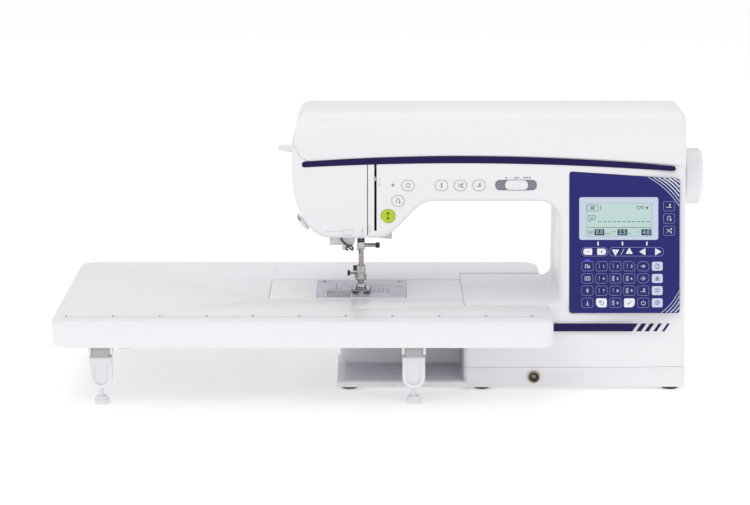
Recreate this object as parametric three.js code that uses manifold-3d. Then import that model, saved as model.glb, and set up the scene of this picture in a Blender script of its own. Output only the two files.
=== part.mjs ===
// Computerised sewing and quilting machine with a slide-on extension table.
// Millimetres. +Z is up, +X points to the handwheel, +Y points away from the person sewing.
// The origin is the middle of the outer box, on the surface that the machine stands on.
import * as THREE from 'three';
import { mergeVertices } from 'three/addons/utils/BufferGeometryUtils.js';
import Module from 'manifold-3d';

const wasm = await Module();
wasm.setup();

// ---------------------------------------------------------------- driving dimensions
const overallWidth = 710; // table's left end to the handwheel's face
const deckHeight = 97; // bed, free arm and table top
const crownAboveBed = 209; // bed to the top of the lid
const throatReach = 217.4; // needle to the column's inner face
const throatHeight = 110.5; // bed to the underside of the arm
const columnWidth = 140; // column's inner face to the machine's right side
const headWidth = 75.5; // needle to the head's left side
const headClearance = 69.6; // bed to the underside of the head
const bodyDepth = 168; // front of the base to the back of the machine
const needleSetBack = 71; // needle behind the front of the base
const bedReach = 104; // bed to the left of the column
const baseHeight = 26; // top of the base tray
const footHeight = 4; // ground clearance under the base tray
const faceFoot = 60; // the front is upright up to this height, then leans back
const faceRun = 36; // the lean, over faceRise
const faceRise = 185;
const shellWall = 3;
const gap = 0.4; // between two covers that meet
const fit = 0.3; // round a piece that sits in a recess or a bore

const armOverhang = 101.6; // needle to the free arm's left end
const armDepth = 99;
const armFrontReach = 39; // needle to the free arm's front
const armHeight = 52;

const tableDepth = 313;
const tableThickness = 28.5;
const tableCorner = 20;
const tableWall = 3;
const tableGap = 0.5; // round the free arm and the bed
const tableColumnGap = 10.6; // table's right end to the column

const plateWidth = 99.7;
const plateDepth = 89.4;
const plateThickness = 1.8;
const handwheelRadius = 31.25;
const handwheelProud = 22; // handwheel's face beyond the right side
const shaftAboveBed = 127; // main shaft
const shaftSetBack = 22; // main shaft behind the needle
const mainShaftRadius = 5;
const lowerShaftDrop = 31; // lower shaft below the bed
const lowerShaftRadius = 4;
const needleBarRadius = 3.2;
const presserBarRadius = 3;
const presserSetBack = 16; // presser bar behind the needle
const bobbinRadius = 10.2;
const hookRadius = 18.5;
const hookOffsetX = 15.6; // hook's centre to the left of the needle
const hookOffsetY = 16; // and in front of it

const legWidth = 24.5;
const legPivotDrop = 8.5; // leg's pin below the table's skirt
const legInset = 31.5; // leg's centre from the table's front or rear edge
const kneeHeight = 15.5;

// ---------------------------------------------------------------- places that follow from them
const crownHeight = deckHeight + crownAboveBed;
const bodyRight = overallWidth / 2 - handwheelProud;
const columnInner = bodyRight - columnWidth;
const needleX = columnInner - throatReach;
const needleY = -4;
const headLeft = needleX - headWidth;
const headBottom = deckHeight + headClearance;
const armUnderside = deckHeight + throatHeight;
const bodyFront = needleY - needleSetBack;
const bodyBack = bodyFront + bodyDepth;
const bedLeft = columnInner - bedReach;
const armLeft = needleX - armOverhang;
const armFront = needleY - armFrontReach;
const armBack = armFront + armDepth;
const armBottom = deckHeight - armHeight;
const tableLeft = -overallWidth / 2;
const tableRight = columnInner - tableColumnGap;
const tableBottom = deckHeight - tableThickness;
const legPivotHeight = tableBottom - legPivotDrop;
const shaftHeight = deckHeight + shaftAboveBed;
const lowerShaftHeight = deckHeight - lowerShaftDrop;
const shaftY = needleY + shaftSetBack;
const partingY = shaftY + 2; // where the front covers meet the rear cover
const presserY = needleY + presserSetBack;
const hookX = needleX - hookOffsetX;
const hookY = needleY - hookOffsetY;
const faceSplitX = needleX + 7.3; // where the face cover meets the front cover
const threadSlotX = needleX + 16.1;
const faceLean = Math.atan2(faceRun, faceRise);
const topDeckHeight = headBottom + 70.6; // underside of the deck under the lid
const topDeckThickness = 3;
const deckTop = topDeckHeight + topDeckThickness;
const threaderY = needleY + 4;
const threaderSlotHeight = headBottom + 91; // threader lever at rest
const threaderTravel = 40;

// ---------------------------------------------------------------- finishes: colour, roughness, metalness
const white = [0xf2eff4, 0.42, 0];
const brightWhite = [0xf7f5fa, 0.4, 0];
const navy = [0x2e306e, 0.3, 0];
const darkPurple = [0x2c2056, 0.32, 0];
const glassGreen = [0xc6ddde, 0.15, 0];
const limeGreen = [0xb4d73c, 0.35, 0];
const midGrey = [0x9ca2a9, 0.5, 0];
const black = [0x1a1614, 0.5, 0];
const steel = [0xb9bcc4, 0.28, 0.9];
const castMetal = [0x8c9096, 0.6, 0.7];
const boardGreen = [0x2d6b3f, 0.5, 0];
const clear = [0xdfe6ea, 0.1, 0];

// ---------------------------------------------------------------- shape helpers
// A closed geometry becomes a solid that can be joined and cut.
function solid(geometry) {
  const bare = geometry.clone();
  bare.deleteAttribute('normal');
  bare.deleteAttribute('uv');
  const merged = mergeVertices(bare, 1e-4);
  const vertProperties = new Float32Array(merged.attributes.position.array);
  const triVerts = new Uint32Array(merged.index.array);
  return new wasm.Manifold(new wasm.Mesh({ numProp: 3, vertProperties, triVerts }));
}

function block(x0, x1, y0, y1, z0, z1) {
  const box = new THREE.BoxGeometry(x1 - x0, y1 - y0, z1 - z0);
  return solid(box.translate((x0 + x1) / 2, (y0 + y1) / 2, (z0 + z1) / 2));
}

// Extrusions of an outline: drawn in XY, XZ or YZ, and run along the axis that is left.
function alongZ(shape, z0, z1, curveSegments = 6) {
  const run = new THREE.ExtrudeGeometry(shape, { depth: z1 - z0, bevelEnabled: false, curveSegments });
  return solid(run.translate(0, 0, z0));
}

function alongY(shape, y0, y1, curveSegments = 6) {
  const run = new THREE.ExtrudeGeometry(shape, { depth: y1 - y0, bevelEnabled: false, curveSegments });
  return solid(run.rotateX(Math.PI / 2).translate(0, y1, 0));
}

const cycleAxes = new THREE.Matrix4().makeBasis(
  new THREE.Vector3(0, 1, 0),
  new THREE.Vector3(0, 0, 1),
  new THREE.Vector3(1, 0, 0),
);

function alongX(shape, x0, x1, curveSegments = 6) {
  const run = new THREE.ExtrudeGeometry(shape, { depth: x1 - x0, bevelEnabled: false, curveSegments });
  return solid(run.applyMatrix4(cycleAxes).translate(x0, 0, 0));
}

function rodZ(radius, x, y, z0, z1, sides = 24) {
  const rod = new THREE.CylinderGeometry(radius, radius, z1 - z0, sides).rotateX(Math.PI / 2);
  return solid(rod.translate(x, y, (z0 + z1) / 2));
}

function rodY(radius, x, y0, y1, z, sides = 24) {
  const rod = new THREE.CylinderGeometry(radius, radius, y1 - y0, sides);
  return solid(rod.translate(x, (y0 + y1) / 2, z));
}

function rodX(radius, x0, x1, y, z, sides = 24) {
  const rod = new THREE.CylinderGeometry(radius, radius, x1 - x0, sides).rotateZ(Math.PI / 2);
  return solid(rod.translate((x0 + x1) / 2, y, z));
}

function polygon(points) {
  return new THREE.Shape(points.map(([a, b]) => new THREE.Vector2(a, b)));
}

function roundedRect(a0, a1, b0, b1, radius) {
  const shape = new THREE.Shape();
  shape.moveTo(a0 + radius, b0);
  shape.lineTo(a1 - radius, b0);
  shape.absarc(a1 - radius, b0 + radius, radius, -Math.PI / 2, 0);
  shape.lineTo(a1, b1 - radius);
  shape.absarc(a1 - radius, b1 - radius, radius, 0, Math.PI / 2);
  shape.lineTo(a0 + radius, b1);
  shape.absarc(a0 + radius, b1 - radius, radius, Math.PI / 2, Math.PI);
  shape.lineTo(a0, b0 + radius);
  shape.absarc(a0 + radius, b0 + radius, radius, Math.PI, Math.PI * 1.5);
  return shape;
}

// A turned piece about the Z axis; each profile point is radius, height.
function turned(profile, sides = 32) {
  const points = profile.map(([r, z]) => new THREE.Vector2(r, z));
  return solid(new THREE.LatheGeometry(points, sides).rotateX(Math.PI / 2));
}

function join(first, ...others) {
  return others.reduce((whole, piece) => whole.add(piece), first);
}

function cut(first, ...others) {
  return others.reduce((whole, piece) => whole.subtract(piece), first);
}

const machine = new THREE.Group();

// Adds one named piece, modelled about its own origin, to a group.
function addPart(name, body, [color, roughness, metalness], place = [0, 0, 0], parent = machine) {
  const { vertProperties, triVerts } = body.getMesh();
  const geometry = new THREE.BufferGeometry();
  geometry.setAttribute('position', new THREE.BufferAttribute(vertProperties, 3));
  geometry.setIndex(new THREE.BufferAttribute(triVerts, 1));
  geometry.computeVertexNormals();
  const material = new THREE.MeshStandardMaterial({ color, roughness, metalness });
  const mesh = new THREE.Mesh(geometry, material);
  mesh.name = name;
  mesh.position.set(...place);
  parent.add(mesh);
  return mesh;
}

// ---------------------------------------------------------------- the leaning front face
// Its own frame: X along the machine, Y up the lean from faceFoot, Z outwards.
const facePlate = new THREE.Group();
facePlate.position.set(0, bodyFront, faceFoot);
facePlate.rotation.x = Math.PI / 2 - faceLean;
facePlate.updateMatrix();
machine.add(facePlate);

function upFace(height) {
  return (height - faceFoot) / Math.cos(faceLean);
}

// The Y of the front face at a height, moved inwards by a depth measured square to it.
function faceY(height, depth = 0) {
  const lean = Math.max(0, height - faceFoot) * faceRun / faceRise;
  const slant = height > faceFoot ? Math.cos(faceLean) : 1;
  return bodyFront + lean + depth / slant;
}

// An outline on the face, run square to it, as a cutter in the machine's frame.
function throughFace(shape, inner, outer, curveSegments = 6) {
  const depth = outer - inner;
  const run = new THREE.ExtrudeGeometry(shape, { depth, bevelEnabled: false, curveSegments });
  return solid(run.translate(0, 0, inner).applyMatrix4(facePlate.matrix));
}

// ---------------------------------------------------------------- outlines of the body
const chinWidth = 42;
const chinHeight = 69.6;
const armCorner = 13;
const bedFillet = 10;
const cheekFoot = needleX + 29; // where the head's underside turns up to the arm
const cheekSlope = Math.atan2(throatHeight - headClearance, 40);

// The body seen from the front, moved inwards by inset; floor and top are its lower and upper ends.
function bodyOutline(inset, floor, top) {
  const under = headBottom + inset;
  const arch = armUnderside + inset;
  const inner = columnInner + inset;
  const bed = deckHeight - inset;
  const slantShift = inset / Math.sin(cheekSlope);
  const cheekLow = cheekFoot - slantShift + inset / Math.tan(cheekSlope);
  const cheekHigh = cheekLow + (arch - under) / Math.tan(cheekSlope);
  const soft = 12;
  const slantX = soft * Math.cos(cheekSlope);
  const slantZ = soft * Math.sin(cheekSlope);
  const outer = armCorner + inset;
  const fillet = bedFillet + inset;
  const s = new THREE.Shape();
  s.moveTo(bodyRight - inset, floor);
  s.lineTo(bodyRight - inset, top);
  s.lineTo(headLeft + inset, top);
  s.lineTo(headLeft + inset, headBottom + chinHeight);
  s.absellipse(headLeft + chinWidth, headBottom + chinHeight,
    chinWidth - inset, chinHeight - inset, Math.PI, Math.PI * 1.5);
  s.lineTo(cheekLow - soft, under);
  s.quadraticCurveTo(cheekLow, under, cheekLow + slantX, under + slantZ);
  s.lineTo(cheekHigh - slantX, arch - slantZ);
  s.quadraticCurveTo(cheekHigh, arch, cheekHigh + soft, arch);
  s.lineTo(inner - outer, arch);
  s.absarc(inner - outer, arch - outer, outer, Math.PI / 2, 0, true);
  s.lineTo(inner, bed + fillet);
  s.absarc(inner - fillet, bed + fillet, fillet, 0, -Math.PI / 2, true);
  s.lineTo(bedLeft + inset, bed);
  s.lineTo(bedLeft + inset, floor);
  return s;
}

// The body seen from its end: the front leans back, the rear is upright.
function bodyProfile(inset, floor, top) {
  return polygon([
    [faceY(floor, inset), floor],
    [faceY(faceFoot, inset), faceFoot - inset * Math.tan(faceLean / 2)],
    [faceY(top, inset), top],
    [bodyBack - inset, top],
    [bodyBack - inset, floor],
  ]);
}

// The seam under the lid: a long shallow arch that turns up over the head's left end.
const seamRight = crownHeight - 62.5;
const seamLeft = crownHeight - 56.4;
const seamArch = crownHeight - 41.7;
const seamCheek = crownHeight - 36;

function seamZ(offset, closeAt) {
  const s = new THREE.Shape();
  const far = bodyRight + 8;
  const turn = headLeft + 21;
  s.moveTo(far, closeAt);
  s.lineTo(far, seamRight + offset);
  s.quadraticCurveTo((far + turn) / 2, seamArch + offset, turn, seamLeft + offset);
  s.quadraticCurveTo(headLeft + 11, seamLeft + offset, headLeft + 5, seamCheek - 8 + offset);
  s.quadraticCurveTo(headLeft + 2, seamCheek + offset, headLeft - 8, seamCheek + offset);
  s.lineTo(headLeft - 8, closeAt);
  return s;
}

// ---------------------------------------------------------------- control layout on the face
const buttonRowHeight = deckHeight + 127.4;
const buttons = [
  { name: 'button_reinforce', x: needleX + 51.8, height: buttonRowHeight, width: 13.4, tall: 11.4 },
  { name: 'button_needle_position', x: needleX + 88.5, height: buttonRowHeight, width: 13.4, tall: 11.4 },
  { name: 'button_thread_cut', x: needleX + 109.1, height: buttonRowHeight, width: 13.4, tall: 11.4 },
  { name: 'button_foot_lift', x: needleX + 129.5, height: buttonRowHeight, width: 13.4, tall: 11.4 },
  { name: 'button_reverse', x: needleX + 40.8, height: buttonRowHeight - 16.6, width: 13.4, tall: 11.4 },
  { name: 'button_start_stop', x: needleX + 29.9, height: buttonRowHeight - 32.8, width: 15.4, tall: 14 },
];
const buttonProud = 1.3;
const buttonDepth = 3.6;

const sliderX = needleX + 170.1;
const sliderHalf = 23;
const sliderTall = 11.6;
const knobWidth = 25;
const knobX = sliderX + 0.5;
const trackDepth = 1.6;

const panelLeft = columnInner + 11.2;
const panelRight = bodyRight - 8;
const panelBottom = upFace(86.7);
const panelTopLeft = upFace(seamRight - 4.7);
const panelTopRight = upFace(seamRight - 12.1);
const panelCorner = 3;
const panelThickness = 1.4;
const windowLeft = panelLeft + 10.7;
const windowRight = panelRight - 23.4;
const windowBottom = panelTopRight - 67.4;
const windowTop = panelTopRight - 20.55;

const stripLeft = headLeft + 11.2;
const stripRight = bodyRight - 12.3;
const stripThickness = 1.2;

// Outlines in the face's own frame; grow widens them into the recess that they sit in.
function panelOutline(grow) {
  const left = panelLeft - grow;
  const right = panelRight + grow;
  const low = panelBottom - grow;
  const c = panelCorner;
  const s = new THREE.Shape();
  s.moveTo(left + c, low);
  s.lineTo(right - c, low);
  s.quadraticCurveTo(right, low, right, low + c);
  s.lineTo(right, panelTopRight + grow - c);
  s.quadraticCurveTo(right, panelTopRight + grow, right - c, panelTopRight + grow);
  s.lineTo(left + c, panelTopLeft + grow);
  s.quadraticCurveTo(left, panelTopLeft + grow, left, panelTopLeft + grow - c);
  s.lineTo(left, low + c);
  return s;
}

function stripOutline(grow) {
  const middle = (stripLeft + stripRight) / 2;
  const left = stripLeft - grow;
  const right = stripRight + grow;
  const s = new THREE.Shape();
  const low = upFace(seamRight) - 4.1;
  const tip = 3;
  s.moveTo(left + tip, low + 4.2 - grow);
  s.quadraticCurveTo(middle, low + 15 - grow, right - tip, low - grow);
  s.quadraticCurveTo(right, low + 0.8, right, low + 2.7);
  s.quadraticCurveTo(right, low + 5.4 + grow, right - tip, low + 5.6 + grow);
  s.quadraticCurveTo(middle, low + 24.2 + grow, left + tip, low + 10.4 + grow);
  s.quadraticCurveTo(left, low + 9.8, left, low + 7.2);
  s.quadraticCurveTo(left, low + 4.2, left + tip, low + 4.2 - grow);
  return s;
}

function buttonOutline({ width, tall }, grow) {
  const a = width / 2 + grow;
  const b = tall / 2 + grow;
  return roundedRect(-a, a, -b, b, 4.6 + grow);
}

function shifted(shape, x, y) {
  return new THREE.Shape(shape.getPoints(3).map((p) => p.add(new THREE.Vector2(x, y))));
}

function trackOutline(halfWidth, halfTall) {
  return roundedRect(-halfWidth, halfWidth, -halfTall, halfTall, halfTall * 0.85);
}

// ---------------------------------------------------------------- body covers and base
const handleSpan = columnWidth - 44;
const handleX = columnInner + columnWidth / 2 - 4;
const handlePivotHeight = crownHeight - 70;
const handlePivotY = bodyBack + 6;
const pinRadius = 2.5;
const inletY = partingY + 28;
const inletHeight = 46;
const inletHalf = 14;
const switchHeight = 76;
const headOpeningLeft = needleX - 38;
const headOpeningRight = needleX + 27;

function hollowBody() {
  const floor = baseHeight + gap;
  const ends = [headLeft - 20, bodyRight + 20];
  const outside = alongY(bodyOutline(0, floor, crownHeight), bodyFront - 20, bodyBack + 20)
    .intersect(alongX(bodyProfile(0, 0, crownHeight), ...ends));
  const inside = alongY(bodyOutline(shellWall, 0, crownHeight + 20), bodyFront - 20, bodyBack + 20)
    .intersect(alongX(bodyProfile(shellWall, 0, crownHeight + 20), ...ends));
  const underSeam = alongY(seamZ(0, 0), bodyFront - 20, bodyBack + 20);
  return outside.intersect(underSeam).subtract(inside);
}

// Free arm mouth, head opening, shaft hole and the slot for the threader lever.
function sharedOpenings() {
  const armMouth = block(bedLeft - 5, bedLeft + shellWall + 1,
    armFront - gap, armBack + gap, armBottom - gap, deckHeight - shellWall);
  const needleOpening = block(headOpeningLeft, headOpeningRight,
    needleY - 22, needleY + 56, headBottom - 2, headBottom + shellWall + 2);
  const shaftHole = rodX(mainShaftRadius + 3, bodyRight - 6, bodyRight + 4, shaftY, shaftHeight);
  const leverSlot = block(headLeft - 2, headLeft + shellWall + 4, threaderY - 2.6, threaderY + 2.6,
    threaderSlotHeight - threaderTravel - 8.6, threaderSlotHeight + 6.9);
  return [armMouth, needleOpening, shaftHole, leverSlot];
}

function addCovers() {
  const shell = cut(hollowBody(), ...sharedOpenings());
  const far = overallWidth;
  const beforeParting = block(-far, far, bodyFront - 30, partingY, -1, crownHeight + 30);
  const front = shell.intersect(beforeParting);
  const stripRecess = throughFace(stripOutline(fit), -stripThickness - 0.3, 4, 12);

  const face = front.intersect(block(-far, faceSplitX, -far, far, 0, far));
  addPart('face_cover', cut(face, stripRecess), brightWhite);

  const threadSlot = block(threadSlotX - 1.4, threadSlotX + 1.4,
    bodyFront - 5, needleY - 20, headBottom + 8.4, crownHeight);
  const buttonHoles = buttons.map((b) => throughFace(
    shifted(buttonOutline(b, fit), b.x, upFace(b.height)), -12, 6));
  const sliderRecess = throughFace(
    shifted(trackOutline(sliderHalf, sliderTall / 2), sliderX, upFace(buttonRowHeight)),
    -trackDepth, 6);
  const sliderSlot = block(sliderX - sliderHalf + 5, sliderX + sliderHalf - 5,
    faceY(buttonRowHeight) - 5, faceY(buttonRowHeight) + 12, buttonRowHeight - 1.6, buttonRowHeight + 1.6);
  const panelRecess = throughFace(panelOutline(fit), -panelThickness - 0.3, 6);
  const ribbonSlot = throughFace(
    roundedRect(windowLeft + 6, windowRight - 6, windowBottom + 6, windowTop - 6, 2), -12, 6);
  const column = front.intersect(block(faceSplitX + gap, far, -far, far, 0, far));
  addPart('front_cover', cut(column, stripRecess, threadSlot, ...buttonHoles,
    sliderRecess, sliderSlot, panelRecess, ribbonSlot), white);

  const behind = shell.intersect(
    block(-far, far, partingY + gap, bodyBack + 30, -1, crownHeight + 30));
  const inletHole = block(bodyRight - 6, bodyRight + 4, inletY - inletHalf - fit,
    inletY + inletHalf + fit, inletHeight - 10 - fit, inletHeight + 10 + fit);
  const switchHole = block(bodyRight - 6, bodyRight + 4, inletY - 8 - fit,
    inletY + 8 + fit, switchHeight - 11 - fit, switchHeight + 11 + fit);
  const handleEars = [-1, 1].map((side) => {
    const x = handleX + side * (handleSpan / 2 + 11.4);
    return block(x - 3, x + 3, bodyBack - 1, handlePivotY, handlePivotHeight - 6, handlePivotHeight + 6)
      .add(rodX(6, x - 3, x + 3, handlePivotY, handlePivotHeight, 20));
  });
  const handlePins = handleEars.map((ear, i) => {
    const x = handleX + (i * 2 - 1) * (handleSpan / 2 + 4.2);
    return rodX(pinRadius, x - 5, x + 5, handlePivotY, handlePivotHeight, 16);
  });
  addPart('rear_cover', cut(join(behind, ...handleEars, ...handlePins), inletHole, switchHole), white);
}

function addBase() {
  const plateLeft = needleX - 26.6;
  const ledgeTop = 10.5;
  const pedestalFront = needleY + 12;
  const pedestalLeft = plateLeft + 3;
  const pedestalTop = armBottom - gap;
  const tray = cut(
    block(bedLeft, bodyRight, bodyFront, bodyBack, footHeight, baseHeight),
    block(bedLeft + shellWall, bodyRight - shellWall, bodyFront + shellWall, bodyBack - shellWall,
      footHeight + shellWall, baseHeight + 1),
  );
  const ledge = alongZ(roundedRect(plateLeft, bedLeft + 4, bodyFront, armBack - 2, 4), footHeight, ledgeTop);
  const pedestal = cut(
    block(pedestalLeft, bedLeft - gap, pedestalFront, armBack - 2, footHeight + 1, pedestalTop),
    block(pedestalLeft + shellWall, bedLeft - shellWall - gap, pedestalFront + shellWall,
      armBack - 2 - shellWall, ledgeTop, pedestalTop + 1),
  );
  const footPlaces = [
    [bedLeft + 20, bodyFront + 16], [bodyRight - 16, bodyFront + 16],
    [bedLeft + 20, bodyBack - 16], [bodyRight - 16, bodyBack - 16],
    [plateLeft + 14, bodyFront + 16], [plateLeft + 14, armBack - 16],
  ];
  const feet = footPlaces.map(([x, y]) => rodZ(9, x, y, 0, footHeight + 1));
  const socketBore = rodY(6 + fit, columnInner - 27, bodyFront - 2, bodyFront + shellWall + 2, kneeHeight);
  const whole = join(tray, ledge, pedestal, ...feet);
  addPart('base_shell', cut(whole, socketBore), white);

  const socket = cut(
    rodY(6, columnInner - 27, bodyFront - 0.6, bodyFront + 14, kneeHeight),
    block(columnInner - 29.7, columnInner - 24.3, bodyFront - 2, bodyFront + 12,
      kneeHeight - 2.7, kneeHeight + 2.7),
  );
  addPart('knee_lifter_socket', socket, black);
}

function addLid() {
  const ends = [headLeft - 20, bodyRight + 20];
  const lift = crownHeight - seamLeft;
  const side = (inset) => {
    const s = new THREE.Shape();
    const front = faceY(seamLeft, inset);
    const back = bodyBack - inset;
    const top = crownHeight - inset;
    s.moveTo(front - 6, seamLeft - 30);
    s.lineTo(front, seamRight - 6);
    s.lineTo(front + 5, top - lift * 0.52);
    s.quadraticCurveTo(front + 9, top - lift * 0.1, front + 34, top - lift * 0.04);
    s.quadraticCurveTo(needleY + 40, top + 3.6, back - 26, top - lift * 0.1);
    s.quadraticCurveTo(back - 2, top - lift * 0.16, back, top - lift * 0.6);
    s.lineTo(back, seamLeft - 30);
    return s;
  };
  const front = (inset) => roundedRectTop(headLeft + inset, bodyRight - inset,
    seamRight - 40, crownHeight + 4 - inset, 17 - inset, 10 - inset);
  const outside = alongX(side(0), ...ends).intersect(alongY(front(0), bodyFront - 20, bodyBack + 20));
  const inside = alongX(side(shellWall), ...ends)
    .intersect(alongY(front(shellWall), bodyFront - 20, bodyBack + 20));
  const aboveSeam = alongY(seamZ(gap, crownHeight + 40), bodyFront - 20, bodyBack + 20);
  addPart('top_cover', outside.subtract(inside).intersect(aboveSeam), white);
}

// A rectangle whose two upper corners have their own radii.
function roundedRectTop(x0, x1, z0, z1, leftRadius, rightRadius) {
  const s = new THREE.Shape();
  s.moveTo(x0, z0);
  s.lineTo(x1, z0);
  s.lineTo(x1, z1 - rightRadius);
  s.absarc(x1 - rightRadius, z1 - rightRadius, rightRadius, 0, Math.PI / 2);
  s.lineTo(x0 + leftRadius, z1);
  s.absarc(x0 + leftRadius, z1 - leftRadius, leftRadius, Math.PI / 2, Math.PI);
  return s;
}

// ---------------------------------------------------------------- trim and controls on the face
function addFaceTrim() {
  const strip = new THREE.ExtrudeGeometry(stripOutline(0),
    { depth: stripThickness, bevelEnabled: false, curveSegments: 12 });
  addPart('accent_strip', solid(strip), darkPurple, [0, 0, -stripThickness], facePlate);

  const windowHole = new THREE.ExtrudeGeometry(
    roundedRect(windowLeft - fit, windowRight + fit, windowBottom - fit, windowTop + fit, 3),
    { depth: 6, bevelEnabled: false, curveSegments: 4 }).translate(0, 0, -2);
  const panel = new THREE.ExtrudeGeometry(panelOutline(0),
    { depth: panelThickness, bevelEnabled: false, curveSegments: 4 });
  addPart('control_panel', cut(solid(panel), solid(windowHole)), navy,
    [0, 0, -panelThickness], facePlate);

  const glass = new THREE.ExtrudeGeometry(
    roundedRect(windowLeft, windowRight, windowBottom, windowTop, 3),
    { depth: panelThickness, bevelEnabled: false, curveSegments: 4 });
  addPart('lcd_window', solid(glass), glassGreen, [0, 0, -panelThickness], facePlate);
}

function addButtons() {
  for (const button of buttons) {
    const cap = new THREE.ExtrudeGeometry(buttonOutline(button, 0),
      { depth: buttonDepth + buttonProud, bevelEnabled: false, curveSegments: 3 });
    const finish = button.name === 'button_start_stop' ? limeGreen : brightWhite;
    addPart(button.name, solid(cap), finish, [button.x, upFace(button.height), -buttonDepth], facePlate);
  }
  const knob = new THREE.ExtrudeGeometry(trackOutline(knobWidth / 2, sliderTall / 2 - 0.5),
    { depth: 4, bevelEnabled: false, curveSegments: 3 });
  addPart('speed_slider', solid(knob), brightWhite,
    [knobX, upFace(buttonRowHeight), fit - trackDepth], facePlate);
}

// ---------------------------------------------------------------- free arm and needle plate
const plateTop = deckHeight + 0.2;
const plateLeftX = needleX - 49;
const plateFrontY = needleY - 34;
const bobbinCoverLeft = hookX - 22;
const bobbinCoverRight = needleX - 12.2;
const bobbinCoverFront = plateFrontY + 3;
const bobbinCoverBack = hookY + 15;
const feedTravel = 2.5;
const feedSlots = [
  { x: needleX - 8.6, width: 3.4, length: 22 },
  { x: needleX - 4.2, width: 2.4, length: 8 },
  { x: needleX + 4.2, width: 2.4, length: 8 },
  { x: needleX + 8.6, width: 3.4, length: 22 },
];
const feedY = needleY + 7;
const dropLeverX = needleX - 50;
const dropLeverHeight = deckHeight - 37;
const dropTravel = 12;

function feedBlocks(grow, z0, z1) {
  const back = feedY + 11;
  return feedSlots.map(({ x, width, length }) => block(x - width / 2 - grow, x + width / 2 + grow,
    back - length - (grow > 0 ? grow + feedTravel : 0), back + (grow > 0 ? grow + feedTravel : 0), z0, z1));
}

function addFreeArm() {
  const arm = alongX(roundedRect(armFront, armBack, armBottom, deckHeight, 5), armLeft, bedLeft - gap, 4);
  const bore = alongX(roundedRect(armFront + shellWall, armBack - shellWall, armBottom + shellWall,
    deckHeight - shellWall, 3), armLeft + shellWall, bedLeft + 5, 4);
  const plateRecess = block(plateLeftX - fit, plateLeftX + plateWidth + fit,
    plateFrontY - fit, plateFrontY + plateDepth + fit, plateTop - plateThickness - 0.3, deckHeight + 2);
  const underPlate = block(plateLeftX + 4, plateLeftX + plateWidth - 4,
    plateFrontY + 2, plateFrontY + plateDepth - 4, deckHeight - 8, deckHeight + 1);
  const dropSlot = block(dropLeverX - 4, dropLeverX + dropTravel + 4,
    armBack - 6, armBack + 2, dropLeverHeight - 3, dropLeverHeight + 3);
  addPart('free_arm_cover', cut(arm, bore, plateRecess, underPlate, dropSlot), brightWhite);

  const plate = alongZ(roundedRect(plateLeftX, plateLeftX + plateWidth, plateFrontY,
    plateFrontY + plateDepth, 3), plateTop - plateThickness, plateTop, 4);
  const needleSlot = alongZ(roundedRect(needleX - 4, needleX + 4, needleY - 1.2, needleY + 1.2, 1.1),
    deckHeight - 8, deckHeight + 2, 3);
  const coverHole = alongZ(roundedRect(bobbinCoverLeft - fit, bobbinCoverRight + fit,
    bobbinCoverFront - fit, bobbinCoverBack + fit, 3), deckHeight - 8, deckHeight + 2, 4);
  const feedWays = feedBlocks(0.4, deckHeight - 7, deckHeight + 3);
  addPart('needle_plate', cut(plate, needleSlot, coverHole, ...feedWays), steel);

  const cover = alongZ(roundedRect(bobbinCoverLeft, bobbinCoverRight, bobbinCoverFront,
    bobbinCoverBack, 3), 0, plateThickness, 4);
  addPart('bobbin_cover', cover, clear, [0, 0, plateTop - plateThickness]);
}

// ---------------------------------------------------------------- hook, bobbin and feed
const bobbinFloor = deckHeight - 19;
const bobbinHeight = 11.5;
const hookBottom = deckHeight - 27;
const hookTop = deckHeight - 11;
const caseRim = deckHeight - 9;

function addHook() {
  const hook = turned([
    [0, hookBottom - 14], [6, hookBottom - 14], [6, hookBottom],
    [hookRadius - 1, hookBottom], [hookRadius, hookBottom + 1], [hookRadius, hookTop],
    [hookRadius - 1.8, hookTop], [hookRadius - 1.8, hookBottom + 3], [0, hookBottom + 3],
  ]);
  addPart('rotary_hook', hook, steel, [hookX, hookY, 0]);

  const caseOuter = hookRadius - 2.2;
  const bobbinCase = turned([
    [0, hookBottom + 3.4], [caseOuter, hookBottom + 3.4], [caseOuter, caseRim - 1], [caseOuter - 1, caseRim],
    [bobbinRadius + 1.3, caseRim], [bobbinRadius + 0.6, caseRim - 1], [bobbinRadius + 0.6, bobbinFloor - 0.4],
    [0, bobbinFloor - 0.4],
  ]);
  addPart('bobbin_case', bobbinCase, black, [hookX, hookY, 0]);

  const rim = 1;
  const core = 3.6;
  const bore = 3;
  const bobbin = turned([
    [bore, 0], [bobbinRadius, 0], [bobbinRadius, rim], [core, rim],
    [core, bobbinHeight - rim], [bobbinRadius, bobbinHeight - rim], [bobbinRadius, bobbinHeight],
    [bore, bobbinHeight], [bore, 0],
  ], 24);
  addPart('bobbin', bobbin, clear, [hookX, hookY, bobbinFloor]);
}

function addFeed() {
  const top = deckHeight + 0.1;
  const bar = block(needleX - 10.5, needleX + 10.5, feedY + 3, feedY + 11, top - 7, top - 3.6);
  addPart('feed_dogs', join(bar, ...feedBlocks(0, top - 4, top)), steel);
  const carrier = cut(
    block(needleX - 14, needleX + 14, feedY + 1, feedY + 13, top - 16, top - 10.4),
    block(needleX - 9, needleX + 9, feedY - 1, feedY + 9, top - 17, top - 12),
  );
  addPart('feed_carrier', carrier, castMetal);
  const lever = join(
    block(dropLeverX - 3, dropLeverX + 3, armBack - 5, armBack + 5, dropLeverHeight - 2, dropLeverHeight + 2),
    block(dropLeverX - 3, dropLeverX + 3, armBack + 2, armBack + 5, dropLeverHeight - 5, dropLeverHeight + 5),
  );
  addPart('feed_drop_lever', lever, black);
}

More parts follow.
